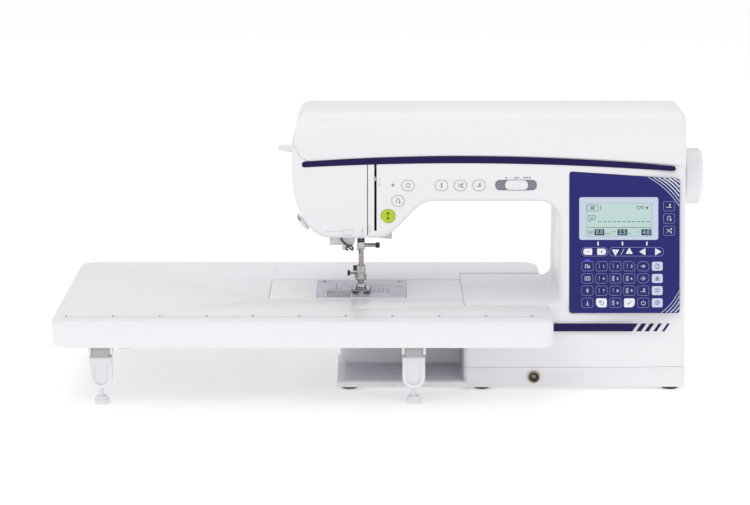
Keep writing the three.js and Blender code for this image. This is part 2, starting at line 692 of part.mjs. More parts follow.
// ---------------------------------------------------------------- needle, presser foot and threader
const clampHeight = deckHeight + 48.5;
const needleLength = 36;
const barTop = topDeckHeight - 3;
const footLift = 7.1;
const presserBarTop = barTop - footLift;
const footSole = plateTop + 0.4;
const anklePinHeight = footSole + 8.2;
const anklePinY = needleY + 14;
const threaderX = needleX - 24;
const threaderFoot = clampHeight + 4.5; // underside of the threader's carrier
const threaderGuide = 7.4; // the lever's cross piece runs this far inside the head's left side

function addNeedle() {
  addPart('needle_bar', rodZ(needleBarRadius, needleX, needleY, clampHeight + 9, barTop, 20), steel);
  const clamp = cut(
    alongZ(roundedRect(needleX - 4.4, needleX + 4.4, needleY - 5, needleY + 4.6, 1.6),
      clampHeight, clampHeight + 8.7, 3),
    rodZ(1.3, needleX, needleY, clampHeight - 1, clampHeight + 7, 12),
    rodX(1.5, needleX + 2.5, needleX + 6, needleY - 0.5, clampHeight + 4, 12),
  );
  addPart('needle_clamp', clamp, steel);
  const screw = join(
    rodX(1.2, needleX + 2.8, needleX + 10, needleY - 0.5, clampHeight + 4, 12),
    rodX(3.6, needleX + 9, needleX + 21, needleY - 0.5, clampHeight + 4, 18),
  );
  addPart('clamp_screw', screw, black);
  const needle = turned([
    [0, 0], [0.28, 2], [0.42, 5], [0.45, needleLength - 13], [1, needleLength - 11],
    [1, needleLength - 0.5], [0, needleLength - 0.5],
  ], 10);
  addPart('needle', needle, steel, [needleX, needleY, clampHeight + 7 - needleLength]);
}

function addPresser() {
  const screwHeight = anklePinHeight + 15;
  addPart('presser_bar', rodZ(presserBarRadius, needleX, presserY, anklePinHeight + 19, presserBarTop, 20),
    steel);
  const shank = join(
    block(needleX - 5, needleX + 5, presserY - 5, presserY + 5, anklePinHeight + 8, anklePinHeight + 18.7),
    block(needleX - 3, needleX + 3, presserY - 6, presserY + 4, anklePinHeight - 3, anklePinHeight + 10),
    rodX(1.6, needleX - 9, needleX - 4, presserY, screwHeight, 12),
    rodX(4.6, needleX - 15, needleX - 8, presserY, screwHeight, 20),
  );
  const pinSlot = rodX(1.5, needleX - 6, needleX + 6, anklePinY, anklePinHeight, 12);
  addPart('foot_holder', cut(shank, pinSlot), steel);

  const heel = needleY + 16;
  const toe = needleY - 17;
  const sole = alongX(polygon([
    [heel, footSole + 1], [heel - 1.5, footSole], [toe + 5, footSole], [toe, footSole + 3.4],
    [toe + 0.6, footSole + 5], [toe + 7, footSole + 2.4], [heel, footSole + 2.4],
  ]), needleX - 10, needleX + 10);
  const cheeks = [-1, 1].map((side) => {
    const x = needleX + side * 4.6;
    return block(x - 1.2, x + 1.2, heel - 7, heel - 0.5, footSole + 1, anklePinHeight + 2);
  });
  const pin = rodX(1.1, needleX - 5.6, needleX + 5.6, anklePinY, anklePinHeight, 12);
  const toeGap = block(needleX - 3.2, needleX + 3.2, toe - 2, needleY + 2, footSole - 2, footSole + 8);
  addPart('presser_foot', cut(join(sole, ...cheeks, pin), toeGap), steel);

  const liftY = presserY + 21;
  const lift = join(
    rodY(4, needleX + 3, liftY - 3, liftY + 3, headBottom - 5, 18),
    alongY(polygon([
      [needleX + 3, headBottom - 9], [needleX + 18, headBottom - 17], [needleX + 34, headBottom - 20],
      [needleX + 34, headBottom - 15], [needleX + 19, headBottom - 11], [needleX + 5, headBottom - 1],
    ]), liftY - 3, liftY + 3),
  );
  addPart('lift_lever', lift, midGrey);
}

function addThreader() {
  const slotHeight = threaderSlotHeight;
  const top = slotHeight + 4.4;
  const leverY = threaderY;
  const peg = join(
    block(headLeft - 16.8, headLeft + threaderGuide + 1, leverY - 2.2, leverY + 2.2, slotHeight - 4.4, top),
    block(headLeft + threaderGuide, headLeft + threaderGuide + 3.6, leverY - 6, leverY + 6,
      slotHeight - 8, top),
  );
  addPart('threader_lever', peg, brightWhite);
  const hook = join(
    rodZ(1.8, threaderX, threaderY, threaderFoot + 5, topDeckHeight - 5.2, 12),
    block(threaderX - 11, threaderX + 8, threaderY - 8, threaderY + 4, threaderFoot,
      threaderFoot + 7),
    block(threaderX + 3, threaderX + 8, threaderY - 6, threaderY - 3.5, threaderFoot - 6,
      threaderFoot + 1),
  );
  addPart('threader_hook', hook, brightWhite);
}

function addTakeup() {
  const pivotHeight = headBottom + 38;
  const hub = rodX(5, threadSlotX - 0.8, threadSlotX + 0.8, 0, 0, 18);
  const arm = alongX(polygon([
    [-38, 30], [-41.5, 27.5], [-41.5, 24], [-36, 20.5], [-3, -4], [3, 4], [-30, 27],
  ]), threadSlotX - 0.8, threadSlotX + 0.8);
  const eye = rodX(1.2, threadSlotX - 2, threadSlotX + 2, -38, 26, 10);
  addPart('takeup_lever', cut(hub.add(arm), eye), steel, [0, needleY + 6, pivotHeight]);
}

// ---------------------------------------------------------------- frame, shafts and drive
const timingX = columnInner + 44;
const beltWidth = 9;
const timingRadius = 10.5;
const motorY = needleY - 13;
const motorHeight = shaftHeight - 84;
const motorBeltX = bodyRight - 32;
const motorPulleyRadius = 6;
const drivePulleyRadius = 10.8;
const beltThickness = 1.8;
const frameFront = needleY + 44;
const frameBack = frameFront + 10;

// The outer line of a belt round two pulleys, in the YZ plane.
function beltLine(low, high, grow) {
  const dy = high.y - low.y;
  const dz = high.z - low.z;
  const reach = Math.hypot(dy, dz);
  const along = Math.atan2(dz, dy);
  const open = Math.acos((low.r - high.r) / reach);
  const s = new THREE.Shape();
  s.absarc(low.y, low.z, low.r + grow, along + open, along - open + Math.PI * 2);
  s.absarc(high.y, high.z, high.r + grow, along - open, along + open);
  return s;
}

function belt(low, high, x0, x1) {
  return cut(
    alongX(beltLine(low, high, fit + beltThickness), x0, x1, 14),
    alongX(beltLine(low, high, fit), x0 - 1, x1 + 1, 14),
  );
}

function addDrive() {
  const shaft = join(
    rodX(mainShaftRadius, threadSlotX + 6, bodyRight + 2, shaftY, shaftHeight),
    rodX(timingRadius, timingX - beltWidth / 2 - 1, timingX + beltWidth / 2 + 1, shaftY, shaftHeight, 32),
    rodX(drivePulleyRadius, motorBeltX - 6, motorBeltX + 6, shaftY, shaftHeight, 32),
  );
  addPart('main_shaft', shaft, steel);
  const wheel = join(
    rodX(handwheelRadius, bodyRight + 2.6, bodyRight + handwheelProud - 3, shaftY, shaftHeight, 48),
    rodX(handwheelRadius - 3, bodyRight + handwheelProud - 4, bodyRight + handwheelProud, shaftY,
      shaftHeight, 48),
  );
  addPart('handwheel', wheel, white);

  const lower = join(
    rodX(lowerShaftRadius, hookX + 14, timingX + 12, shaftY, lowerShaftHeight, 20),
    rodX(timingRadius, timingX - beltWidth / 2 - 1, timingX + beltWidth / 2 + 1, shaftY,
      lowerShaftHeight, 32),
    rodX(9, hookX + 14, hookX + 24, shaftY, lowerShaftHeight, 24),
  );
  addPart('lower_shaft', lower, steel);
  const lowPulley = { y: shaftY, z: lowerShaftHeight, r: timingRadius };
  const highPulley = { y: shaftY, z: shaftHeight, r: timingRadius };
  addPart('timing_belt',
    belt(lowPulley, highPulley, timingX - beltWidth / 2, timingX + beltWidth / 2), black);

  const motor = join(
    rodX(21, motorBeltX - 54, motorBeltX - 12, motorY, motorHeight, 32),
    rodX(7, motorBeltX - 13, motorBeltX - 8, motorY, motorHeight, 20),
  );
  addPart('drive_motor', motor, castMetal);
  addPart('motor_pulley',
    rodX(motorPulleyRadius, motorBeltX - 6, motorBeltX + 6, motorY, motorHeight), steel);
  const motorPulley = { y: motorY, z: motorHeight, r: motorPulleyRadius };
  const drivePulley = { y: shaftY, z: shaftHeight, r: drivePulleyRadius };
  addPart('drive_belt', belt(motorPulley, drivePulley, motorBeltX - 3.5, motorBeltX + 3.5), black);
}

function addFrame() {
  const columnLeft = columnInner + 12;
  const columnRight = bodyRight - 18;
  const web = join(
    block(armLeft + 24, columnRight, frameFront, frameBack, armBottom + 5, armBottom + 34),
    block(columnLeft, columnRight, frameFront, frameBack, baseHeight + 6, topDeckHeight - 3),
    block(headLeft + 12, bodyRight - 12, frameFront, frameBack, armUnderside + 6, topDeckHeight - 3),
    block(needleX - 38, needleX + 24, frameFront, frameBack, headBottom + 5, armUnderside + 8),
  );
  const windows = [0, 1, 2].map((i) => {
    const rise = shaftHeight - baseHeight;
    const z = baseHeight + rise / 3 + i * rise * 0.212;
    return block(columnLeft + 16, columnRight - 16, frameFront - 1, frameBack + 1, z, z + rise * 0.152);
  });
  const bearing = (x, height, radius) => cut(
    block(x - 5, x + 5, shaftY - radius - 6, frameFront + 1, height - radius - 4, height + radius + 4),
    rodX(radius + fit, x - 6, x + 6, shaftY, height),
  );
  const bearings = [
    bearing(needleX + 84, shaftHeight, mainShaftRadius),
    bearing(columnInner + 20, shaftHeight, mainShaftRadius),
    bearing(bodyRight - 10, shaftHeight, mainShaftRadius),
    bearing(needleX + 60, lowerShaftHeight, lowerShaftRadius),
    bearing(columnInner + 20, lowerShaftHeight, lowerShaftRadius),
  ];
  const guides = [headBottom + 6, headBottom + 36].map((z) => cut(
    block(needleX - 9, needleX + 9, needleY - 8, frameFront + 1, z, z + 8),
    rodZ(needleBarRadius + fit, needleX, needleY, z - 1, z + 9, 20),
    rodZ(presserBarRadius + fit, needleX, presserY, z - 1, z + 9, 20),
  ));
  addPart('cast_frame', join(cut(web, ...windows), ...bearings, ...guides), castMetal);

  const board = block(columnInner + 14, bodyRight - 14, frameBack + 14, frameBack + 16,
    baseHeight + 14, shaftHeight - 34);
  addPart('circuit_board', board, boardGreen);
  const inlet = cut(
    block(bodyRight - 16, bodyRight + 0.4, inletY - inletHalf, inletY + inletHalf,
      inletHeight - 10, inletHeight + 10),
    block(bodyRight - 12, bodyRight + 2, inletY - 9, inletY + 9, inletHeight - 5.5, inletHeight + 5.5),
  );
  addPart('power_inlet', inlet, black);
  const rocker = alongY(polygon([
    [-7, -10], [-2.2, -10], [1.2, -9], [-0.6, 0], [1.6, 9.4], [-2.2, 10], [-7, 10],
  ]), -8, 8);
  addPart('power_switch', rocker, black, [bodyRight, inletY, switchHeight]);
}

// ---------------------------------------------------------------- under the lid, and the handle
function addDeck() {
  const left = headLeft + shellWall + gap;
  const right = bodyRight - shellWall - gap;
  const front = faceY(topDeckHeight, shellWall) + gap + 0.6;
  const back = bodyBack - shellWall - gap;
  const plate = block(left, right, front, back, topDeckHeight, deckTop);
  const threadWay = block(threadSlotX - 3, threadSlotX + 3, front - 1, front + 26,
    topDeckHeight - 1, deckTop + 1);
  const leverWay = block(left - 1, headLeft + 14, needleY - 5, needleY + 13, topDeckHeight - 1, deckTop + 1);
  addPart('top_deck', cut(plate, threadWay, leverWay), midGrey);

  const spoolX = needleX + 66;
  const spool = join(
    block(spoolX - 3, spoolX + 3, needleY + 24, needleY + 36, deckTop + gap, deckTop + 22),
    rodX(2.6, spoolX - 1, spoolX + 68, needleY + 30, deckTop + 18, 16),
  );
  addPart('spool_pin', spool, midGrey);
  const winder = turned([
    [0, 0], [9, 0], [9, 2.4], [3, 3.4], [2.9, 19], [2, 20.4], [0, 20.4],
  ], 20);
  addPart('bobbin_winder', winder, brightWhite, [bodyRight - 64, needleY + 10, deckTop + gap]);
}

function addHandle() {
  const drop = 34;
  const bar = 9;
  const half = handleSpan / 2 + 4;
  const arms = [-1, 1].map((side) => {
    const x = side * half;
    return block(x - 3.6, x + 3.6, -4.5, 4.5, -drop, 0).add(rodX(4.5, x - 3.6, x + 3.6, 0, 0, 20))
      .subtract(rodX(pinRadius + fit, x - 5, x + 5, 0, 0, 16));
  });
  const grip = alongX(roundedRect(-4.5, 4.5, -drop - bar, -drop + 2, 3), -half - 3.6, half + 3.6, 4);
  addPart('carry_handle', join(grip, ...arms), white, [handleX, handlePivotY, handlePivotHeight]);
}

// ---------------------------------------------------------------- extension table
const hubHalf = 9.4;
const hubRadius = 6.8;
const earThickness = 3;
const shankTop = 8.2;
const shankBottom = legPivotHeight - 17;
const shankHalfDepth = 6;
const footBore = 2.7;
const legPlaces = [
  { name: 'front_left', x: needleX - 279.6, side: -1 },
  { name: 'front_right', x: needleX + 57.4, side: -1 },
  { name: 'rear_left', x: needleX - 279.6, side: 1 },
  { name: 'rear_right', x: needleX + 57.4, side: 1 },
];
const legY = tableDepth / 2 - legInset;

function addTable() {
  const half = tableDepth / 2;
  const notch = (grow, z0, z1) => join(
    block(armLeft - tableGap - grow, tableRight + 60, armFront - tableGap - grow,
      armBack + tableGap + grow, z0, z1),
    block(bedLeft - tableGap - grow, tableRight + 60, bodyFront - tableGap - grow,
      bodyBack + tableGap + grow, z0, z1),
  );
  const slab = alongZ(roundedRect(tableLeft, tableRight, -half, half, tableCorner), tableBottom, deckHeight)
    .subtract(notch(0, tableBottom - 2, deckHeight + 2));
  const hollow = alongZ(roundedRect(tableLeft + tableWall, tableRight - tableWall, -half + tableWall,
    half - tableWall, tableCorner - tableWall), tableBottom - 1, deckHeight - tableWall)
    .subtract(notch(tableWall, tableBottom - 3, deckHeight + 2));
  const ears = legPlaces.flatMap(({ x, side }) => [-1, 1].map((hand) => {
    const near = x + hand * (hubHalf + 0.4);
    const x0 = Math.min(near, near + hand * earThickness);
    const y = side * legY;
    return block(x0, x0 + earThickness, y - hubRadius, y + hubRadius, legPivotHeight, deckHeight - 1)
      .add(rodX(hubRadius, x0, x0 + earThickness, y, legPivotHeight, 20));
  }));
  addPart('table_top', join(slab.subtract(hollow), ...ears), brightWhite);
}

function addLegs() {
  const halfWidth = legWidth / 2;
  const curve = halfWidth - 0.25;
  const face = new THREE.Shape();
  face.moveTo(-halfWidth, -shankTop);
  face.lineTo(-halfWidth, -shankBottom + curve);
  face.absellipse(0, -shankBottom + curve, halfWidth, curve, Math.PI, Math.PI * 2);
  face.lineTo(halfWidth, -shankTop);
  const neck = block(-hubHalf, hubHalf, -hubRadius + 0.6, hubRadius - 0.6, -shankTop - 2, 0);
  const leg = cut(
    join(rodX(hubRadius - 0.2, -hubHalf, hubHalf, 0, 0, 20), neck,
      alongY(face, -shankHalfDepth, shankHalfDepth)),
    rodZ(footBore, 0, 0, -shankBottom - 1, -shankBottom + 14, 16),
  );
  const foot = join(
    rodZ(8.4, 0, 0, 0, 5, 28),
    rodZ(7, 0, 0, 4.5, 8, 28),
    rodZ(footBore - fit, 0, 0, 7, legPivotHeight - shankBottom + 5, 14),
  );
  for (const { name, x, side } of legPlaces) {
    const corner = new THREE.Group();
    corner.position.set(x, side * legY, 0);
    machine.add(corner);
    addPart(`table_leg_${name}`, leg, brightWhite, [0, 0, legPivotHeight], corner);
    addPart(`table_foot_${name}`, foot, brightWhite, [0, 0, 0], corner);
  }
}

addCovers();
addBase();
addLid();
addFaceTrim();
addButtons();
addFreeArm();
addHook();
addFeed();
addNeedle();
addPresser();
addThreader();
addTakeup();
addDrive();
addFrame();
addDeck();
addHandle();
addTable();
addLegs();

export default machine;
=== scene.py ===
import math
import bpy
import bmesh
from mathutils import Vector, Matrix


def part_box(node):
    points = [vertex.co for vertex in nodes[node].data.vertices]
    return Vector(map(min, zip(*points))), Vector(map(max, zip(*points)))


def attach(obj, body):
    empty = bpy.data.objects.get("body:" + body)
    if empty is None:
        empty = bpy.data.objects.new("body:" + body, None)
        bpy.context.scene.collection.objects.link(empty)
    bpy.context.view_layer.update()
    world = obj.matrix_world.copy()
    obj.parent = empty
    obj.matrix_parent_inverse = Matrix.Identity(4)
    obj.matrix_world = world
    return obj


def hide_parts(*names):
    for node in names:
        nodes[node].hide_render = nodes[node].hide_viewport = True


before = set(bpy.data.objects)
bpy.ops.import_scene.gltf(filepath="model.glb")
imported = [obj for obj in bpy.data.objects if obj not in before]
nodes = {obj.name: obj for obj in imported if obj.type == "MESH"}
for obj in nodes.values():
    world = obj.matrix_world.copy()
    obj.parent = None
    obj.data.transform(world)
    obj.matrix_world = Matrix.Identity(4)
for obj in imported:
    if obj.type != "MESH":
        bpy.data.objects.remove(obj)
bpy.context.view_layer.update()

MM = 0.001


# ------------------------------------------------------------------ stage
# A seamless pale sweep under three soft boxes, and the camera of a catalogue picture:
# a long lens, a little above the machine and square to its front.
def soft_box(name, place, aim, size, power):
    lamp = bpy.data.lights.new(name, "AREA")
    lamp.shape = "RECTANGLE"
    lamp.size, lamp.size_y = size
    lamp.energy = power
    holder = bpy.data.objects.new(name, lamp)
    holder.location = place
    holder.rotation_euler = (Vector(aim) - Vector(place)).to_track_quat("-Z", "Y").to_euler()
    bpy.context.collection.objects.link(holder)


lens = bpy.data.cameras.new("camera")
lens.lens = 120.68
lens.sensor_width = 36
lens.clip_end = 30
camera = bpy.data.objects.new("camera", lens)
camera.location = (-0.0088, -2.7547, 0.7109)
camera.rotation_euler = (math.radians(90 - 11.707), 0, 0)
bpy.context.collection.objects.link(camera)
bpy.context.scene.camera = camera

soft_box("key_light", (-1.1, -1.5, 2.1), (0, 0, 0.12), (1.5, 1.1), 9)
soft_box("fill_light", (1.9, -1.3, 1.1), (0.05, 0, 0.15), (1.2, 1.4), 3)
soft_box("top_light", (0, 0.5, 2.3), (0, 0, 0), (2.2, 1.6), 7.5)

# The room's white light; the camera sees it as clean paper white behind the sweep.
sky = bpy.data.worlds.new("studio")
bpy.context.scene.world = sky
sky.use_nodes = True
room = sky.node_tree
seen = room.nodes.new("ShaderNodeLightPath")
strength = room.nodes.new("ShaderNodeMix")
strength.inputs["A"].default_value = 0.74
strength.inputs["B"].default_value = 1.0
room.links.new(seen.outputs["Is Camera Ray"], strength.inputs["Factor"])
room.links.new(strength.outputs["Result"], room.nodes["Background"].inputs["Strength"])
room.nodes["Background"].inputs["Color"].default_value = (1, 1, 1, 1)
bpy.context.scene.view_settings.view_transform = "Standard"

floor_mesh = bpy.data.meshes.new("floor")
floor_mesh.from_pydata([(-9, -9, 0), (9, -9, 0), (9, 9, 0), (-9, 9, 0)], [], [(0, 1, 2, 3)])
floor = bpy.data.objects.new("floor", floor_mesh)
bpy.context.collection.objects.link(floor)
paper = bpy.data.materials.new("pale_paper")
paper.use_nodes = True
sheet = paper.node_tree.nodes["Principled BSDF"]
sheet.inputs["Base Color"].default_value = (0.9, 0.9, 0.9, 1)
sheet.inputs["Roughness"].default_value = 0.9
sheet.inputs["Specular IOR Level"].default_value = 0.0
sheet.inputs["Emission Color"].default_value = (1, 1, 1, 1)
sheet.inputs["Emission Strength"].default_value = 0.3
floor_mesh.materials.append(paper)


# ------------------------------------------------------------------ moulded covers
# The front, face and rear covers are three injection-moulded ABS shells, 3 mm thick, that close
# round the cast frame. They are one flowing body, parted by fine seams, so they are cut from one form.
def join_group(name, sockets_in, sockets_out, build):
    tree = bpy.data.node_groups.new(name, "ShaderNodeTree")
    for label, kind, value in sockets_in:
        socket = tree.interface.new_socket(label, in_out="INPUT", socket_type="NodeSocket" + kind)
        socket.default_value = value
    for label, kind in sockets_out:
        tree.interface.new_socket(label, in_out="OUTPUT", socket_type="NodeSocket" + kind)
    start = tree.nodes.new("NodeGroupInput")
    end = tree.nodes.new("NodeGroupOutput")
    build(tree, start.outputs, end.inputs)
    return tree


def shader_node(tree, kind, settings=(), **links):
    """Adds a node; settings are its properties, links are values or sockets for its inputs."""
    made = tree.nodes.new("ShaderNode" + kind)
    for key, value in dict(settings).items():
        setattr(made, key, value)
    for label, source in links.items():
        numbered = label[0] == "i" and label[1:].isdigit()
        socket = made.inputs[int(label[1:])] if numbered else made.inputs[label]
        if isinstance(source, bpy.types.NodeSocket):
            tree.links.new(source, socket)
        else:
            socket.default_value = source
    return made


def build_moulded(tree, given, result):
    """Plastic off a spark-eroded mould: a fine even texture, faint flow clouds and a little handling dirt."""
    place = shader_node(tree, "TexCoord").outputs["Object"]
    texture = shader_node(tree, "TexNoise", Vector=place, Scale=given["Texture Scale"], Detail=2.0)
    clouds = shader_node(tree, "TexNoise", Vector=place, Scale=9.0, Detail=3.0)
    smudge = shader_node(tree, "TexNoise", Vector=place, Scale=34.0, Detail=4.0, Roughness=0.7)
    flow = shader_node(tree, "MapRange", Value=clouds.outputs["Fac"], i3=0.985, i4=1.012)
    shade = shader_node(tree, "MixRGB", {"blend_type": "MULTIPLY"}, Fac=1.0, Color1=given["Color"],
                        Color2=flow.outputs["Result"])
    rough = shader_node(tree, "MapRange", Value=smudge.outputs["Fac"], i3=-0.05, i4=0.06)
    total = shader_node(tree, "Math", {"operation": "ADD"}, i0=given["Roughness"], i1=rough.outputs["Result"])
    tree.links.new(shade.outputs["Color"], result["Color"])
    tree.links.new(total.outputs["Value"], result["Roughness"])
    tree.links.new(texture.outputs["Fac"], result["Height"])


moulded = join_group(
    "moulded_surface",
    [("Color", "Color", (0.8, 0.8, 0.8, 1)), ("Roughness", "Float", 0.4), ("Texture Scale", "Float", 900.0)],
    [("Color", "Color"), ("Roughness", "Float"), ("Height", "Float")],
    build_moulded,
)


def plastic(name, color, roughness=0.4, texture_scale=900.0, depth=0.08, coat=0.0, gloss=0.5):
    made = bpy.data.materials.new(name)
    made.use_nodes = True
    made.diffuse_color = (*color, 1)
    tree = made.node_tree
    surface = tree.nodes["Principled BSDF"]
    finish = tree.nodes.new("ShaderNodeGroup")
    finish.node_tree = moulded
    finish.inputs["Color"].default_value = (*color, 1)
    finish.inputs["Roughness"].default_value = roughness
    finish.inputs["Texture Scale"].default_value = texture_scale
    bump = shader_node(tree, "Bump", Height=finish.outputs["Height"], Strength=depth, Distance=0.0004)
    tree.links.new(finish.outputs["Color"], surface.inputs["Base Color"])
    tree.links.new(finish.outputs["Roughness"], surface.inputs["Roughness"])
    tree.links.new(bump.outputs["Normal"], surface.inputs["Normal"])
    surface.inputs["Coat Weight"].default_value = coat
    surface.inputs["Specular IOR Level"].default_value = gloss
    return made


def arc(x, z, rx, rz, start, end, steps):
    return [(x + rx * math.cos(a), z + rz * math.sin(a))
            for a in (math.radians(start + (end - start) * i / steps) for i in range(steps + 1))]


def bend(p, q, r, steps):
    """The quadratic curve from p to r that is drawn towards q."""
    return [tuple((1 - t) ** 2 * a + 2 * t * (1 - t) * b + t * t * c for a, b, c in zip(p, q, r))
            for t in (i / steps for i in range(steps + 1))]


def tidy_loop(loop):
    kept = []
    for p in loop:
        if not kept or (Vector(p) - Vector(kept[-1])).length > 1e-6:
            kept.append(tuple(p))
    if (Vector(kept[0]) - Vector(kept[-1])).length < 1e-6:
        kept.pop()
    return kept


def signed_area(loop):
    return sum(a[0] * b[1] - b[0] * a[1] for a, b in zip(loop, loop[1:] + loop[:1])) / 2


def inset_loop(loop, amount):
    """A closed outline moved inwards by amount, each corner along its mitre."""
    turn = 1 if signed_area(loop) > 0 else -1
    moved = []
    for before, here, after in zip(loop[-1:] + loop[:-1], loop, loop[1:] + loop[:1]):
        a = (Vector(here) - Vector(before)).normalized()
        b = (Vector(after) - Vector(here)).normalized()
        normal = Vector((-a.y - b.y, a.x + b.x)) * turn
        if normal.length < 1e-6:
            normal = Vector((-a.y, a.x)) * turn
        normal.normalize()
        side = Vector((-a.y, a.x)) * turn
        moved.append(tuple(Vector(here) + normal * amount / max(0.4, normal.dot(side))))
    return moved


def new_piece(name, mesh, material=None):
    piece = bpy.data.objects.new(name, mesh)
    bpy.context.collection.objects.link(piece)
    if material:
        mesh.materials.clear()
        mesh.materials.append(material)
    return piece


def loft(name, rings, material=None):
    """Closed skin through equal rings of points, with a flat cap at each end."""
    work = bmesh.new()
    rows = [[work.verts.new(p) for p in ring] for ring in rings]
    for low, high in zip(rows, rows[1:]):
        for i in range(len(low)):
            j = (i + 1) % len(low)
            work.faces.new((low[i], low[j], high[j], high[i]))
    work.faces.new(rows[0][::-1])
    work.faces.new(rows[-1])
    bmesh.ops.recalc_face_normals(work, faces=work.faces)
    mesh = bpy.data.meshes.new(name)
    work.to_mesh(mesh)
    work.free()
    return new_piece(name, mesh, material)


def rounded_run(name, loop, place, length, low_radius, high_radius, steps=5, material=None):
    """An outline run over a length, its two rims rounded; place(a, b, depth) gives the point."""
    loop = tidy_loop(loop)
    rings = []
    for i in range(steps + 1):
        a = math.pi / 2 * i / steps
        ring = inset_loop(loop, low_radius * (1 - math.sin(a))) if low_radius else loop
        rings.append([place(u, v, low_radius * (1 - math.cos(a))) for u, v in ring])
        if not low_radius:
            break
    for i in range(steps + 1):
        a = math.pi / 2 * i / steps
        ring = inset_loop(loop, high_radius * (1 - math.cos(a))) if high_radius else loop
        rings.append([place(u, v, length - high_radius * (1 - math.sin(a))) for u, v in ring])
        if not high_radius:
            break
    return loft(name, rings, material)


def settle(piece):
    """Turns a piece with live modifiers into a plain mesh."""
    bpy.context.view_layer.update()
    solid = bpy.data.meshes.new_from_object(piece.evaluated_get(bpy.context.evaluated_depsgraph_get()))
    piece.modifiers.clear()
    old = piece.data
    piece.data = solid
    bpy.data.meshes.remove(old)
    return piece


def carve(piece, *cutters, operation="DIFFERENCE", keep=False):
    for cutter in cutters:
        step = piece.modifiers.new("carve", "BOOLEAN")
        step.operation = operation
        step.object = cutter
        step.solver = "EXACT"
    settle(piece)
    if not keep:
        for cutter in cutters:
            bpy.data.objects.remove(cutter)
    return piece


def copy_of(piece, name):
    twin = piece.copy()
    twin.data = piece.data.copy()
    twin.name = name
    bpy.context.collection.objects.link(twin)
    return twin


def slab(x0, x1, y0, y1, z0, z1):
    corners = [(x, y, z) for z in (z0, z1) for x, y in ((x0, y0), (x1, y0), (x1, y1), (x0, y1))]
    faces = [(0, 3, 2, 1), (4, 5, 6, 7), (0, 1, 5, 4), (1, 2, 6, 5), (2, 3, 7, 6), (3, 0, 4, 7)]
    mesh = bpy.data.meshes.new("slab")
    mesh.from_pydata(corners, [], faces)
    return new_piece("slab", mesh)


def smooth(piece, angle=35, bevel=0.0, segments=2, limit=30):
    """Softens the sharp rims and lets the light run smoothly over the rest."""
    work = bmesh.new()
    work.from_mesh(piece.data)
    bmesh.ops.remove_doubles(work, verts=work.verts, dist=2e-6)
    bmesh.ops.dissolve_degenerate(work, edges=work.edges, dist=1e-6)
    work.to_mesh(piece.data)
    work.free()
    if bevel:
        rim = piece.modifiers.new("rim", "BEVEL")
        rim.width = bevel
        rim.segments = segments
        rim.limit_method = "ANGLE"
        rim.angle_limit = math.radians(limit)
        rim.use_clamp_overlap = True
        settle(piece)
    piece.data.shade_smooth()
    piece.data.set_sharp_from_angle(angle=math.radians(angle))
    return piece


white_shell = plastic("white_shell", (0.88, 0.868, 0.896), 0.36, coat=0.15)
face_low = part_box("face_cover")[0]
cover_low, cover_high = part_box("front_cover")
base_low, base_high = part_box("base_shell")
needle_low, needle_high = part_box("needle")
arm_low, arm_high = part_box("free_arm_cover")
deck_z = arm_high.z
needle_x = (needle_low.x + needle_high.x) / 2
needle_y = (needle_low.y + needle_high.y) / 2
body_left, body_right = face_low.x, cover_high.x
body_front, body_back = cover_low.y, base_high.y
parting_y = cover_high.y
head_floor = face_low.z
bed_left = arm_high.x + 0.4 * MM
column_x = bed_left + 104 * MM
arch_z = deck_z + 109.2 * MM
lean_start = 60 * MM
lean = math.atan2(36, 185)
lid_wall = 3 * MM


def face_y(z, depth=0.0):
    """The front face stands upright to lean_start, then leans back."""
    if z < lean_start:
        return body_front + depth
    return body_front + (z - lean_start) * math.tan(lean) + depth / math.cos(lean)


def on_face(x, up, out=0.0):
    """A point on the leaning face: up is measured along the slope, out is proud of it."""
    y = body_front + up * math.sin(lean) - out * math.cos(lean)
    return (x, y, lean_start + up * math.cos(lean) + out * math.sin(lean))


def body_loop(inset, floor_z, top_z):
    """The machine from the front: head, arm, column and bed stub."""
    chin_x, chin_z = 42 * MM, 69.6 * MM
    cheek = math.atan2(arch_z - head_floor, 40 * MM)
    under, arch = head_floor + inset, arch_z + inset
    inner, bed = column_x + inset, deck_z - inset
    low_x = needle_x + 29 * MM - inset / math.sin(cheek) + inset / math.tan(cheek)
    high_x = low_x + (arch - under) / math.tan(cheek)
    soft = 12 * MM
    run, rise = soft * math.cos(cheek), soft * math.sin(cheek)
    corner, fillet = 21 * MM + inset, 10 * MM + inset
    chin_top = head_floor + chin_z
    loop = [(body_right - inset, floor_z), (body_right - inset, top_z), (body_left + inset, top_z)]
    loop += arc(body_left + chin_x, chin_top, chin_x - inset, chin_z - inset, 180, 270, 22)
    loop += bend((low_x - soft, under), (low_x, under), (low_x + run, under + rise), 8)
    loop += bend((high_x - run, arch - rise), (high_x, arch), (high_x + soft, arch), 8)
    loop += arc(inner - corner, arch - corner, corner, corner, 90, 0, 10)
    loop += arc(inner - fillet, bed + fillet, fillet, fillet, 0, -90, 8)
    loop += [(bed_left + inset, bed), (bed_left + inset, floor_z)]
    return loop


def seam_loop(offset, close_z):
    """The seam under the lid: a long arch that turns up over the head's end."""
    far, turn = body_right + 8 * MM, body_left + 21 * MM
    left, right, arch, cheek = 249.6 * MM, 243.5 * MM, 264.3 * MM, 270 * MM
    loop = [(far, close_z)]
    loop += bend((far, right + offset), ((far + turn) / 2, arch + offset), (turn, left + offset), 40)
    loop += bend((turn, left + offset), (body_left + 11 * MM, left + offset),
                 (body_left + 5 * MM, cheek - 8 * MM + offset), 8)
    loop += bend((body_left + 5 * MM, cheek - 8 * MM + offset), (body_left + 2 * MM, cheek + offset),
                 (body_left - 8 * MM, cheek + offset), 6)
    return loop + [(body_left - 8 * MM, close_z)]


